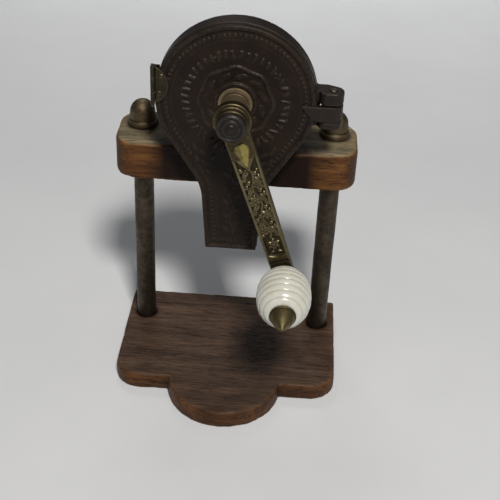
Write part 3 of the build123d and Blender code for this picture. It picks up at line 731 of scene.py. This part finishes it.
def seg_distance(P, loop, closed=True):
    A = loop
    B = np.roll(loop, -1, 0) if closed else loop[1:]
    A = A if closed else loop[:-1]
    out = np.empty(len(P))
    AB = B - A
    L = np.maximum((AB**2).sum(1), 1e-12)
    for s in range(0, len(P), 4000):
        q = P[s : s + 4000, None, :] - A[None]
        t = np.clip((q * AB[None]).sum(2) / L, 0, 1)
        out[s : s + 4000] = np.sqrt(((q - t[..., None] * AB[None]) ** 2).sum(2).min(1))
    return out


def resample(line, step):
    d = np.r_[0, np.cumsum(np.linalg.norm(np.diff(line, axis=0), axis=1))]
    n = int(round(d[-1] / step))
    t = np.linspace(0, d[-1], n + 1)
    return np.stack([np.interp(t, d, line[:, 0]), np.interp(t, d, line[:, 1])], 1), n


def ellipse_bump(P, c, length, width, angle, height, power=0.5, vein=0.0):
    q = P - np.array(c)
    ca, sa = math.cos(angle), math.sin(angle)
    s, t = (q[:, 0] * ca + q[:, 1] * sa) / length, (-q[:, 0] * sa + q[:, 1] * ca) / width
    taper = 1.0 - 0.35 * np.clip(s, -1, 1)
    r = s**2 + (t / np.maximum(taper, 0.3)) ** 2
    h = height * np.clip(1 - r, 0, 1) ** power
    if vein:
        h -= vein * np.exp(-((t / 0.16) ** 2)) * (r < 0.8)
    return h


outline, _ = keyhole(0.40, 0.34)
mouth_z = 65.8
outline[:, 1] = np.maximum(outline[:, 1], mouth_z)
outline = np.vstack([outline, np.array([[x, mouth_z] for x in np.linspace(outline[-1, 0], outline[0, 0], 64)[1:-1]])])
nb = len(outline)
nr = 132
hole_r = 5.30
ctr = np.array([0.0, DRUM_Z])
dirs = outline - ctr
ang = np.arctan2(dirs[:, 1], dirs[:, 0])
inner = ctr + hole_r * np.stack([np.cos(ang), np.sin(ang)], 1)
tt = np.linspace(0, 1, nr) ** 0.93
grid = inner[None] + (outline - inner)[None] * tt[:, None, None]
P = grid.reshape(-1, 2)
edge_d = seg_distance(P, outline)
bead_line, nrm = keyhole(4.25, 0.3)
keep = bead_line[:, 1] > 70.3
beads, _ = resample(bead_line[keep], 1.95)
foot, _ = resample(np.array([[-7.1, 69.9], [7.1, 69.9]]), 1.77)
beads = np.vstack([beads, foot])
best = np.full(len(P), 9.0)
nearest = np.argmin([np.hypot(*(bead_line - b).T) for b in beads], axis=1)
cross = nrm[nearest]
cross[len(beads) - len(foot) :] = (0, 1)
for s in range(0, len(P), 6000):
    q = P[s : s + 6000, None, :] - beads[None]
    across = (q * cross[None]).sum(2)
    along = q[..., 0] * cross[None, :, 1] - q[..., 1] * cross[None, :, 0]
    best[s : s + 6000] = np.sqrt((across / 1.00) ** 2 + (along / 0.78) ** 2).min(1)
bead_h = 0.46 * np.clip(1 - best**2, 0, 1) ** 0.8
r = np.linalg.norm(P - ctr, axis=1)
phi = np.arctan2(P[:, 1] - DRUM_Z, P[:, 0])
h = np.zeros(len(P))
orn = np.zeros(len(P))


def raise_by(x, weight=1.0):
    global h, orn
    h = np.maximum(h, x)
    orn = np.maximum(orn, weight * np.clip(x / 0.35, 0, 1))


raise_by(bead_h, 0.45)
raise_by(0.13 * np.clip(1 - ((edge_d - 5.75) / 0.45) ** 2, 0, 1) * (P[:, 1] > 71.5), 0.3)
raise_by(0.64 * np.clip(1 - (np.abs(r - (13.9 + 0.45 * np.cos(8 * phi))) / 0.85) ** 2.2, 0, 1) ** 0.6)
pet = ((phi + 0.10 * (r - 10.5)) * 11 / TAU) % 1.0 - 0.5
width = 0.36 * np.clip(np.sin(np.pi * np.clip((r - 8.9) / 3.2, 0, 1)), 0, 1) ** 0.7
raise_by(0.50 * np.clip(1 - (pet / np.maximum(width, 1e-3)) ** 2, 0, 1) ** 0.5 * (r > 9.0) * (r < 12.1) * (0.75 + 0.25 * np.cos(3 * phi + 1.0)), 0.6)
n_bar = 44
bar = (phi * n_bar / TAU) % 1.0 - 0.5
idx = np.floor(phi * n_bar / TAU).astype(int) % n_bar
dice = np.random.RandomState(5)
lean, thick, tall, short = dice.uniform(-0.42, 0.42, n_bar), dice.uniform(0.55, 0.86, n_bar), dice.uniform(0.72, 1.0, n_bar), dice.uniform(0.6, 1.0, n_bar)
lo_r, hi_r = 19.1 - 2.25 * short[idx], 19.1 + 2.25 * tall[idx]
mid_r, half_r = (lo_r + hi_r) / 2, (hi_r - lo_r) / 2
arc_mm = bar * TAU * r / n_bar - (r - mid_r) * lean[idx]
raise_by(0.66 * tall[idx] * np.clip(1 - (arc_mm / thick[idx]) ** 2 - (np.abs(r - mid_r) / half_r) ** 4, 0, 1) ** 0.5 * (idx % 10 != 4))
foot_bar = np.where(dice.uniform(0, 1, n_bar)[idx] > 0.55, 1.0, 0.0)
raise_by(0.45 * foot_bar * np.clip(1 - ((r - hi_r + 0.55) / 0.5) ** 2 - ((arc_mm - 0.45) / 0.75) ** 4, 0, 1) ** 0.5 * (idx % 10 != 4))
for k in range(n_bar):
    if k % 10 == 4:
        a = (k + 0.5) * TAU / n_bar
        c = ctr + 19.1 * np.array([math.cos(a), math.sin(a)])
        for j in range(4):
            b = a + j * math.pi / 2
            raise_by(ellipse_bump(P, c + 1.0 * np.array([math.cos(b), math.sin(b)]), 1.0, 0.62, b, 0.42))
        raise_by(ellipse_bump(P, c, 0.5, 0.5, 0, 0.5))
for sx in (-1, 1):
    for (x, z, ln, wd, deg, ht) in (
        (15.2, 112.4, 2.6, 0.95, 62, 0.42), (12.6, 110.6, 2.2, 0.85, 20, 0.38), (14.4, 107.6, 2.5, 0.9, 78, 0.42),
        (11.2, 106.2, 2.3, 0.85, 30, 0.38), (12.6, 102.9, 2.3, 0.8, 82, 0.38), (9.6, 101.9, 2.0, 0.8, 40, 0.34), (8.0, 108.3, 1.5, 0.8, 100, 0.34),
    ):
        a = math.radians(deg if sx > 0 else 180 - deg)
        raise_by(ellipse_bump(P, (sx * x, z), ln, wd, a, ht, vein=0.12))
stem_x = 0.8 * np.sin((P[:, 1] - 72) * TAU / 11.0)
raise_by(0.24 * np.clip(1 - ((P[:, 0] - stem_x) / 0.42) ** 2, 0, 1) ** 0.5 * (P[:, 1] > 73.5) * (P[:, 1] < 104), 0.6)
for k in range(9):
    z = 75.5 + 3.2 * k
    sx = 1 if k % 2 else -1
    raise_by(ellipse_bump(P, (sx * 2.3, z), 2.0, 0.85, math.radians(90 - sx * 42), 0.30, vein=0.10), 0.8)
    raise_by(ellipse_bump(P, (-sx * 1.6, z + 0.6), 0.5, 0.5, 0, 0.26), 0.8)
h -= 0.22 * np.exp(-(((edge_d - 2.45) / 0.34) ** 2))
boss = 0.90 * sstep(8.35, 7.85, r)
h = np.maximum(h, boss)
rim = 0.70 * np.clip(1 - (np.abs(edge_d - 0.98) / 1.06) ** 2.6, 0, 1) ** 0.55
h = np.where(edge_d < 2.1, np.maximum(rim, 0), h)
orn = np.where(edge_d < 1.9, 0.55 * np.clip(rim / 0.7, 0, 1) ** 2, orn)
p3 = np.stack([P[:, 0], P[:, 1], np.zeros(len(P))], 1)
skin = 0.06 * fbm(p3 * 0.14, 3, 70) + 0.075 * fbm(p3 * 0.55, 3, 74) + 0.03 * fbm(p3 * 1.3, 2, 76) - 0.07 * sstep(0.38, 0.60, fbm(p3 * 1.1, 2, 78)) - 0.02
front_f = 29.06 + h * (0.88 + 0.30 * fbm(p3 * 0.22, 2, 81) + 0.12 * fbm(p3 * 0.9, 2, 83)) + skin * (1 - 0.5 * np.clip(orn, 0, 1))
front_f = np.where(edge_d < 0.05, 28.95, front_f)
front_f = np.minimum(front_f, 30.02)
Vf = np.stack([P[:, 0], -front_f, P[:, 1]], 1)
# outer wall, back and hole wall
wall_f = [28.4, 27.6, 26.95, 26.66]
wall_in = [-0.02, 0.0, 0.0, 0.28]
toward = (ctr - outline) / np.linalg.norm(ctr - outline, axis=1)[:, None]
walls = [np.stack([(outline + toward * w)[:, 0], np.full(nb, -f), (outline + toward * w)[:, 1]], 1) for f, w in zip(wall_f, wall_in)]
walls[-1][:, 2] = np.where(outline[:, 1] < 66.2, outline[:, 1] + 0.2, walls[-1][:, 2])
backs = []
for t in np.linspace(1, 0, 9)[1:]:
    g = inner + (outline - inner) * t
    backs.append(np.stack([g[:, 0], np.full(nb, -26.64), g[:, 1]], 1))
rings = [Vf.reshape(nr, nb, 3)[k] for k in range(nr)] + walls + backs
nring = len(rings)
V = np.vstack(rings)
F = []
for j in range(nring):
    k = (j + 1) % nring
    a, b = j * nb, k * nb
    F += [(a + i, a + (i + 1) % nb, b + (i + 1) % nb, b + i) for i in range(nb)]
extra = len(V) - len(P)
lap = None
hgrid = front_f.reshape(nr, nb)
loc = hgrid.copy()
for _ in range(10):
    loc = (loc + np.roll(loc, 1, 1) + np.roll(loc, -1, 1) + np.vstack([loc[:1], loc[:-1]]) + np.vstack([loc[1:], loc[-1:]])) / 5
diff = (hgrid - loc).ravel()
hollow = np.clip(-diff * 9, 0, 1)
convex = np.clip(diff * 9, 0, 1)
convex = np.where((edge_d < 1.6) & (edge_d > 0.3), np.maximum(convex, 0.45), convex)
cover = new_object("front_cover_casting", V, F, {
    "relief": np.r_[np.clip(orn, 0, 1), np.zeros(extra)],
    "hollow": np.r_[hollow, np.zeros(extra)],
    "convex": np.r_[convex, np.zeros(extra)],
}, 60)
place(cover, "cover", "cover_iron", mat_cover, "front_cover")

# hinge strap and knuckle of the cover
hx, hf = HINGE
kn = lathe([(1.6, 126.55), (4.15, 126.55), (4.15, 132.75), (1.6, 132.75)], (hx, -hf, 0), (0, 0, 1), 64, closed=True)
up = lambda x, y, z: (x, y, z)
fwd = lambda x, z, f: (x, -f, z)
block = prism([(32.2, -27.05), (hx, -27.05), (40.9, -hf), (40.2, -28.15), (38.4, -29.75), (32.2, -29.75)], 126.55, 132.75, up)
strap = prism([(24.7, 132.82), (33.0, 132.75), (33.0, 126.55), (30.3, 126.95), (27.3, 129.6)], 27.3, 30.06, fwd)
strap_o = soften("cover_hinge_strap", [kn, block, strap], 0.17, 4, shape=cast_shape(52, 0.6))
place(strap_o, "cover", "cover_iron", mat_case)

# -------------------------------------------------------------------- bearing
prof = [(3.27, 25.70), (6.95, 25.70), (6.95, 26.58), (5.22, 26.58), (5.22, 29.95), (6.55, 30.06), (6.55, 31.0), (5.22, 31.15), (5.22, 33.0), (5.02, 33.15), (5.02, 33.4), (5.22, 33.55), (5.22, 39.6), (5.0, 39.75), (5.0, 40.0), (5.22, 40.15), (5.22, 41.5), (4.8, 41.98), (3.27, 41.98)]
prof = densify(bezier_corners(prof, 0.16, 3, True), 0.5, True)


def turned(seed, amp=0.03):
    def shape(R, A, ang):
        q = np.stack([np.cos(ang) * R, np.sin(ang) * R, A], -1).reshape(-1, 3)
        w = amp * fbm(q * 0.5, 3, seed)
        return R + (w.reshape(R.shape) - amp) * (R > 3.6)
    return shape


def ring_attrs(V, axis_xz, profile):
    """How far a turned piece's surface stands out from its profile's radius at the same place along the axis."""
    rr = np.hypot(V[:, 0] - axis_xz[0], V[:, 2] - axis_xz[1])
    pr = np.array(profile, float)
    mean = np.interp(-V[:, 1], np.sort(pr[:, 1]), pr[np.argsort(pr[:, 1]), 0])
    return rr - mean


V, F = lathe(prof, (0, 0, DRUM_Z), (0, -1, 0), 112, closed=True, shape=turned(90))
rr = np.hypot(V[:, 0], V[:, 2] - DRUM_Z)
ff = -V[:, 1]
hol = 0.9 * np.exp(-(((ff - 33.27) / 0.22) ** 2)) + 0.9 * np.exp(-(((ff - 39.87) / 0.22) ** 2)) + 0.9 * np.exp(-(((ff - 31.5) / 0.5) ** 2)) * (rr < 5.6)
con = 0.7 * np.exp(-(((ff - 30.5) / 0.5) ** 2)) * (rr > 6.2) + 0.6 * np.exp(-(((ff - 41.5) / 0.4) ** 2)) * (rr > 4.7)
o = new_object("bearing_bush_turned", V, F, {"convex": np.clip(con, 0, 1), "hollow": np.clip(hol, 0, 1)}, 50)
place(o, "cover", "bush_brass", mat_bush, "bearing_bush")

# ---------------------------------------------------------------------- crank
ns, nt = 560, 72
s_lo, s_hi = -7.22, ARM_LEN + 4.97
k = np.linspace(0, 1, ns)
s = s_lo + (s_hi - s_lo) * (k + 0.5 * 0.5 * (1 - np.cos(k * TAU)) * 0 + 0)
ends = 36
s = np.concatenate([
    s_lo + 3.0 * (1 - np.cos(np.linspace(0, math.pi / 2, ends)))[:-1],
    np.linspace(s_lo + 3.0, s_hi - 2.4, ns - 2 * ends),
    (s_hi - 2.4) + 2.4 * np.sin(np.linspace(0, math.pi / 2, ends))[1:],
])
ns = len(s)


def smax(a, b, k=0.8):
    q = np.clip(0.5 + 0.5 * (a - b) / k, 0, 1)
    return b + (a - b) * q + k * q * (1 - q)


bar_w = 5.28 + (4.33 - 5.28) * np.clip(s / ARM_LEN, 0, 1)
bar_w = np.where((s < -0.5) | (s > ARM_LEN + 0.5), -4, bar_w)
eye_w = np.sqrt(np.clip(7.23**2 - s**2, 0, None))
eye_w = np.where(np.abs(s) > 7.23, -4, eye_w)
tip_w = np.sqrt(np.clip(4.98**2 - (s - ARM_LEN) ** 2, 0, None))
tip_w = np.where(np.abs(s - ARM_LEN) > 4.98, -4, tip_w)
w = np.maximum(np.maximum(eye_w, bar_w), tip_w)
inside = (s > 3.0) & (s < ARM_LEN - 2)
w = np.where(inside, smax(smax(eye_w, bar_w), tip_w), w)
w = np.maximum(w, 0.05)
tau = np.sin(np.linspace(-1, 1, nt) * math.pi / 2 * 0.93) / math.sin(math.pi / 2 * 0.93)
S = np.repeat(s[:, None], nt, 1)
T = w[:, None] * tau[None]
Q = np.stack([S.ravel(), T.ravel()], 1)
loop = np.vstack([np.stack([s, w], 1), np.stack([s[::-1], -w[::-1]], 1)])
de = seg_distance(Q, loop)
de = np.where(np.abs(np.repeat(tau[None], ns, 0).ravel()) > 0.9999, 0, de)
top = np.full(len(Q), 3.38)
shield_polish_and_highlight = np.zeros(len(Q))
sv, tv = Q[:, 0], Q[:, 1]
bw = 5.28 + (4.33 - 5.28) * np.clip(sv / ARM_LEN, 0, 1)
side_d = bw - np.abs(tv) - 1.02                       # > 0 inside the panel's long sides
start = 15.2 + 6.0 * (1 - np.abs(tv) / 4.1)
start = np.where(sv < 40, start, 15)
end_d = 61.2 - sv - 1.2 * (np.abs(tv) / 3.6) ** 2
panel = np.minimum(np.minimum(side_d, (sv - start) * 0.62), end_d)
depth = 0.88 * sstep(-0.05, 0.55, panel)
vine = np.zeros(len(Q))


def grow(x):
    global vine
    vine = np.maximum(vine, x)


stem = 0.85 * np.sin((sv - 20) * TAU / 12.6)
grow(0.60 * np.clip(1 - ((tv - stem) / 0.50) ** 2, 0, 1) ** 0.5 * (sv > 20.5) * (sv < 52.5))
for k in range(8):
    c = 22.6 + 3.8 * k
    sx = 1 if k % 2 else -1
    grow(ellipse_bump(Q, (c + 0.2, sx * 2.1), 2.45, 1.20, sx * math.radians(34), 0.95, vein=0.26))
    grow(ellipse_bump(Q, (c + 2.3, sx * 3.0), 1.45, 0.72, sx * math.radians(64), 0.80, vein=0.16))
    grow(ellipse_bump(Q, (c - 1.5, sx * 3.1), 1.25, 0.66, -sx * math.radians(38), 0.72, vein=0.14))
    grow(ellipse_bump(Q, (c + 0.4, -sx * 1.75), 1.05, 0.95, 0, 0.86, vein=0.10))
    grow(ellipse_bump(Q, (c + 1.8, -sx * 2.8), 0.92, 0.74, sx * 0.6, 0.78))
    grow(ellipse_bump(Q, (c - 0.9, -sx * 2.9), 0.80, 0.62, -sx * 0.5, 0.66))
for cx, cy, size in ((27.6, 1.5, 0.86), (34.4, -1.5, 0.92), (41.3, 1.35, 0.92), (48.4, -1.25, 0.95), (55.6, 0.0, 1.0)):
    for j in range(6):
        a = j * TAU / 6 + 0.3 * cx
        grow(ellipse_bump(Q, (cx + 1.55 * size * math.cos(a), cy + 1.55 * size * math.sin(a)), 1.35 * size, 0.86 * size, a, 0.90, vein=0.16))
    grow(ellipse_bump(Q, (cx, cy), 0.85 * size, 0.85 * size, 0, 1.05))
for sx in (-1, 1):
    grow(ellipse_bump(Q, (59.2, sx * 1.7), 1.2, 0.6, sx * math.radians(70), 0.6))
q3 = np.stack([sv, tv, np.zeros(len(Q))], 1)
top = top - depth + vine * sstep(0.0, 0.45, panel) * 0.84
# raised shield at the panel's head, and a shallow scoop each side of it
shield_w = 2.95 * np.clip((sv - 9.3) / 1.7, 0, 1) ** 0.45 * np.clip(1 - (sv - 12.2) / 7.4, 0, 1) ** 0.85
shield_t = np.abs(tv) / np.maximum(shield_w, 0.05)
shield = np.clip(1.15 - shield_t, 0, 1) * sstep(9.3, 10.0, sv) * sstep(19.5, 18.8, sv)
top += 0.30 * np.clip(shield, 0, 1) ** 0.75
# the raised shield is polished by handling; its right-hand half gets extra brightness as a painted highlight
shield_polish_and_highlight = sstep(0.06, 0.45, shield) * (0.55 + 0.45 * (tv > -0.4))
top -= 0.14 * np.exp(-(((sv - 19.9) / 0.30) ** 2)) * (np.abs(tv) < 3.0)
top += 0.12 * np.exp(-(((sv - 62.6) / 0.45) ** 2)) - 0.14 * np.exp(-(((sv - 63.6) / 0.35) ** 2))
top += 0.03 * fbm(q3 * 0.45, 3, 101) + 0.02 * fbm(q3 * 1.8, 2, 105)
edge_r = 0.62
top -= np.where(de < edge_r, edge_r - np.sqrt(np.clip(edge_r**2 - (edge_r - de) ** 2, 0, None)), 0) * 0.9
top = np.minimum(top, 3.70)
tg = top.reshape(ns, nt)
loc = tg.copy()
for _ in range(9):
    loc = (loc + np.roll(loc, 1, 1) + np.roll(loc, -1, 1) + np.vstack([loc[:1], loc[:-1]]) + np.vstack([loc[1:], loc[-1:]])) / 5
diff = (tg - loc).ravel()
relief = np.clip(1.0 - (3.38 - top) / 1.05, 0, 1)
relief = np.where(sv < 16, 0.36 + 0.22 * np.exp(-((de / 0.7) ** 2)), relief)
relief = np.where(sv > 62, 0.42 + 0.25 * np.exp(-((de / 0.7) ** 2)), relief)
relief = np.where((side_d < 0) & (sv > 16) & (sv < 62), np.maximum(relief, 0.74), relief)
relief = np.clip(relief + diff * 5.0, 0, 1)


def arm_point(sv, tv, f):
    return np.array([0, 0, DRUM_Z]) + sv[:, None] * ARM_D + tv[:, None] * ARM_T + f[:, None] * np.array([0, -1.0, 0])


front = arm_point(sv, tv, 42.3 + top)
idx = np.arange(ns * nt).reshape(ns, nt)
border = np.concatenate([idx[0, :], idx[1:, -1], idx[-1, -2::-1], idx[-2:0:-1, 0]])
b_s, b_t = sv[border], tv[border]
cen = np.stack([np.clip(b_s, 0, ARM_LEN), np.zeros(len(b_s))], 1)
ward = cen - np.stack([b_s, b_t], 1)
ward /= np.maximum(np.linalg.norm(ward, axis=1)[:, None], 1e-6)
V = [front]
F = []
for i in range(ns - 1):
    F += [(idx[i, j], idx[i, j + 1], idx[i + 1, j + 1], idx[i + 1, j]) for j in range(nt - 1)]
prev = border
count = len(front)
levels = [(2.2, 0.0), (1.4, 0.0), (0.55, 0.0), (0.18, 0.10), (0.02, 0.38)]
for lev, ins in levels:
    bs, bt = b_s + ward[:, 0] * ins, b_t + ward[:, 1] * ins
    V.append(arm_point(bs, bt, np.full(len(bs), 42.3 + lev)))
    cur = np.arange(count, count + len(border))
    n = len(border)
    F += [(prev[i], prev[(i + 1) % n], cur[(i + 1) % n], cur[i]) for i in range(n)]
    prev = cur
    count += n
# the flat back: strips across the arm
m = len(border)
right = list(range(nt - 1, nt - 1 + ns))                    # border index along +w side
left = [0] + list(range(m - 1, m - ns, -1))[: ns - 1]
left = left[:ns]
for i in range(ns - 1):
    if i == 0:
        F.append(tuple([prev[j] for j in range(0, nt)] + [prev[right[1]], prev[left[1]]]))
    elif i == ns - 2:
        F.append(tuple([prev[left[i]], prev[right[i]]] + [prev[j] for j in range(right[-1], right[-1] + nt)]))
    else:
        F.append((prev[left[i]], prev[right[i]], prev[right[i + 1]], prev[left[i + 1]]))
V = np.vstack(V)
extra = len(V) - len(front)
arm = new_object("crank_arm_casting", V, F, {
    "relief": np.r_[relief, np.full(extra, 0.42)],
    "polish_and_painted_highlight": np.r_[shield_polish_and_highlight, np.zeros(extra)],
}, 60)
place(arm, "crank", "crank_brass", mat_crank, "crank_arm")

# turned boss on the arm's eye, clamped under the cap nut
prof = [(3.25, 45.3), (6.3, 45.3), (6.35, 46.0), (5.75, 46.35), (5.75, 46.7), (6.0, 46.95), (6.0, 48.4), (5.6, 48.95), (3.25, 48.95)]
prof = densify(bezier_corners(prof, 0.18, 3, True), 0.5, True)
V, F = lathe(prof, (0, 0, DRUM_Z), (0, -1, 0), 112, closed=True, shape=turned(95, 0.04))
ff = -V[:, 1]
rr = np.hypot(V[:, 0], V[:, 2] - DRUM_Z)
rel = 0.34 + 0.22 * np.exp(-(((ff - 48.5) / 0.4) ** 2)) - 0.2 * np.exp(-(((ff - 46.5) / 0.3) ** 2))
boss_o = new_object("crank_boss_turned", V, F, {"relief": np.clip(rel, 0, 1), "polish_and_painted_highlight": np.zeros(len(V))}, 50)
place(boss_o, "crank", "crank_brass", mat_crank)

# pad at the knob end
prof = [(2.05, 45.0), (4.6, 45.0), (4.5, 45.95), (2.05, 45.98)]
prof = densify(bezier_corners(prof, 0.2, 3, True), 0.5, True)
V, F = lathe(prof, (KNOB[0], 0, KNOB[1]), (0, -1, 0), 80, closed=True)
pad = new_object("crank_knob_pad", V, F, {"relief": np.full(len(V), 0.5), "polish_and_painted_highlight": np.zeros(len(V))}, 50)
place(pad, "crank", "crank_brass", mat_crank)

# cap nut
prof = [(2.08, 49.0), (5.45, 49.0), (5.75, 49.3), (5.75, 50.9), (5.55, 51.4), (4.95, 51.9), (4.3, 52.05), (4.05, 51.78), (3.7, 51.78), (3.45, 52.15), (2.6, 52.5), (2.25, 52.3), (1.95, 52.3), (1.7, 52.62), (0.8, 52.95), (0, 53.05)]
prof = [(0, 51.4), (2.08, 51.4)] + prof
prof = densify(bezier_corners(prof, [0, 0] + [0.2] * 15 + [0], 3), 0.35)
V, F = lathe(prof, (0, 0, DRUM_Z), (0, -1, 0), 112, shape=turned(97, 0.03))
ff = -V[:, 1]
rr = np.hypot(V[:, 0], V[:, 2] - DRUM_Z)
hol = (0.9 * np.exp(-(((rr - 3.88) / 0.28) ** 2)) + 0.9 * np.exp(-(((rr - 2.1) / 0.24) ** 2))) * (ff > 51.6)
con = (0.8 * np.exp(-(((rr - 4.8) / 0.5) ** 2)) + 0.6 * np.exp(-(((rr - 3.0) / 0.4) ** 2)) + 0.5 * np.exp(-((rr / 0.8) ** 2))) * (ff > 51.3)
o = new_object("crank_cap_nut_dome", V, F, {"convex": np.clip(con, 0, 1), "hollow": np.clip(hol, 0, 1)}, 50)
place(o, "crank", "cap_iron", mat_cap, "crank_cap_nut")

# ----------------------------------------------------------------------- knob
ribs = 9
f0, f1 = 46.62, 70.38
q = np.linspace(0, 1, 1201)
env = 5.2 + (10.88 - 5.2) * (1 - np.abs(2 * q - 1) ** 2.35) ** 0.62
along = np.r_[0, np.cumsum(np.hypot(np.diff(env), np.diff(q) * (f1 - f0)))]
along /= along[-1]
prof = []
groove = []
for share in np.linspace(0, 1, ribs * 20 + 1):
    rib = 0.50 * (abs(math.sin(math.pi * share * ribs)) ** 0.6 - 1.0)
    at = np.interp(share, along, q)
    prof.append((np.interp(share, along, env) + rib * math.sin(math.pi * min(max(at, 0.02), 0.98)) ** 0.3, f0 + (f1 - f0) * at))
    groove.append(max(0.0, 1 - abs(math.sin(math.pi * share * ribs)) * 2.2))
prof = [(2.15, f0 + 0.05)] + prof + [(2.15, f1 - 0.05)]
groove = [0.3] + groove + [0.6]


def hand_made(R, A, ang):
    q = np.stack([np.cos(ang) * 2, np.sin(ang) * 2, A * 0.12], -1).reshape(-1, 3)
    return R + 0.05 * fbm(q, 2, 120).reshape(R.shape) * (R > 4) - 0.05 * (R > 4)


segs = 144
V, F = lathe(prof, (KNOB[0], 0, KNOB[1]), (0, -1, 0), segs, closed=True, shape=hand_made)
hol = np.repeat(np.array(groove)[:, None], segs, 1).ravel()
knob = new_object("knob_glazed", V, F, {"hollow": hol, "convex": np.zeros(len(V))}, 70)
place(knob, "knob", "knob_porcelain", mat_knob, "knob")

prof = densify(bezier_corners([(2.1, 46.06), (4.15, 46.06), (4.15, 46.48), (2.1, 46.48)], 0.12, 3, True), 0.5, True)
V, F = lathe(prof, (KNOB[0], 0, KNOB[1]), (0, -1, 0), 80, closed=True)
o = new_object("knob_collar_ring", V, F, {"hollow": np.zeros(len(V)), "convex": np.zeros(len(V))}, 50)
place(o, "crank", "collar_brass", mat_collar, "knob_collar")

prof = [(0, 76.6), (2.08, 76.6), (2.08, 70.52), (4.9, 70.52), (5.2, 70.8), (5.22, 71.2), (4.95, 71.6), (4.72, 71.75), (4.78, 72.0)]
for q in np.linspace(0.04, 1.0, 22):
    prof.append((4.78 * (1 - q) ** 0.86 * (1 + 0.10 * math.sin(math.pi * q)), 72.0 + 7.9 * q))
prof[-1] = (0.0, 79.93)
prof.insert(-1, (0.28, 79.82))
prof = densify(prof, 0.5)
V, F = lathe(prof, (KNOB[0], 0, KNOB[1]), (0, -1, 0), 96, shape=turned(130, 0.02))
ff = -V[:, 1]
hol = 0.9 * np.exp(-(((ff - 71.72) / 0.2) ** 2))
con = 0.7 * np.exp(-(((ff - 71.1) / 0.3) ** 2)) + 0.6 * sstep(77.5, 79.9, ff)
o = new_object("knob_finial_cone", V, F, {"hollow": np.clip(hol, 0, 1), "convex": np.clip(con, 0, 1)}, 50)
place(o, "crank", "collar_brass", mat_collar, "knob_finial")

# ---------------------------------------------------------------------- catch
o = soften("catch_plate_sheet", [N["catch_plate"]], 0.13, 4, shape=lambda V, n, c: -0.02 + 0.03 * fbm(V * 0.3, 2, 140))
place(o, "cover", "catch_brass", mat_catch, "catch_plate")
o = soften("catch_leaf_sheet", [N["catch_leaf"]], 0.13, 4, shape=lambda V, n, c: -0.02 + 0.03 * fbm(V * 0.3, 2, 144))
place(o, "catch", "catch_brass", mat_catch, "catch_leaf")

# --------------------------------------------------- CAD nodes that are shown
by_slot = {
    "base_wood": mat_base, "rail_wood": mat_rail, "pillar_steel": mat_pillar, "nut_brass": mat_nut, "screw_steel": mat_screw,
    "case_iron": mat_case, "cover_iron": mat_cover, "pin_steel": mat_pin, "grinder_steel": mat_grind, "bush_brass": mat_bush,
    "catch_brass": mat_catch, "rivet_brass": mat_rivet, "spindle_steel": mat_spindle, "washer_brass": mat_washer,
    "crank_brass": mat_crank, "cap_iron": mat_cap, "collar_brass": mat_collar, "knob_porcelain": mat_knob,
}
slot_of = {s["node"]: s["material_slot"] for s in frame["record"]["subparts"]}
for name, o in N.items():
    for ms in o.material_slots:
        ms.material = by_slot[slot_of[name]]

# ------------------------------------------------------- floor, light, camera
size = 3.0
n = 60
V, F = [], []
for j in range(n + 1):
    for i in range(n + 1):
        V.append(((i / n - 0.5) * size * 1000, (j / n - 0.5) * size * 1000, -0.02))
for j in range(n):
    for i in range(n):
        a = j * (n + 1) + i
        F.append((a, a + 1, a + n + 2, a + n + 1))
floor = new_object("floor_sheet", np.array(V, float), F)
m = Mat("floor_paper")
col = m.mix(m.rng(m.noise(9, 4, 0.6), 0.35, 0.68), (0.735, 0.735, 0.745), (0.775, 0.775, 0.780))
col = m.mix(m.rng(m.noise(900, 3, 0.6), 0.62, 0.75, 0, 0.10), col, (0.62, 0.61, 0.60))
m.bump(m.noise(1400, 3, 0.6), 0.06, 0.08)
floor.data.materials.append(m.done(col, 0.85, 0.0, 0.2))

world = bpy.data.worlds.new("studio")
scene.world = world
world.use_nodes = True
bg = world.node_tree.nodes["Background"]
bg.inputs[0].default_value = (0.93, 0.96, 1.0, 1)
bg.inputs[1].default_value = 0.10


def softbox(name, where, target, sx, sy, power, colour=(1, 1, 1), spread=180):
    d = bpy.data.lights.new(name, "AREA")
    d.spread = math.radians(spread)
    d.shape = "RECTANGLE"
    d.size, d.size_y = sx, sy
    d.energy = power
    d.color = colour
    o = bpy.data.objects.new(name, d)
    scene.collection.objects.link(o)
    o.location = where
    o.rotation_euler = (Vector(target) - Vector(where)).to_track_quat("-Z", "Y").to_euler()
    return o


softbox("key", (0.14, -0.62, 0.86), (0.05, 0.346, 0.60), 0.15, 0.17, 11.2, (1.0, 0.985, 0.955))
softbox("top", (-0.25, 0.98, 1.28), (0, 0.1, 0.05), 0.50, 0.34, 2.6, (0.97, 0.985, 1.0))
softbox("far", (0.0, 0.78, 0.90), (0.0, 0.66, 0.0), 0.70, 0.20, 0.60, (0.97, 0.985, 1.0), spread=56)

cam_d = bpy.data.cameras.new("camera")
cam = bpy.data.objects.new("camera", cam_d)
scene.collection.objects.link(cam)
cam_d.sensor_width = 36.0
cam_d.lens = 1010.2 * 36.0 / 500.0
cam_d.clip_start, cam_d.clip_end = 0.02, 20
pitch, roll, head = math.radians(33.916), math.radians(2.769), math.radians(1.971)
turn = Matrix.Rotation(head, 3, "Z")
right0, up0, fwd0 = Vector((1, 0, 0)), Vector((0, math.sin(pitch), math.cos(pitch))), Vector((0, math.cos(pitch), -math.sin(pitch)))
right1 = turn @ (right0 * math.cos(roll) + up0 * math.sin(roll))
up1 = turn @ (-right0 * math.sin(roll) + up0 * math.cos(roll))
back1 = turn @ (-fwd0)
rot = Matrix((right1, up1, back1)).transposed().to_4x4()
cam.matrix_world = Matrix.Translation(turn @ Vector((0.007205, -0.377107, 0.299547))) @ rot
scene.camera = cam

scene.view_settings.view_transform = "Standard"
scene.view_settings.look = "None"
scene.view_settings.exposure = 0.0
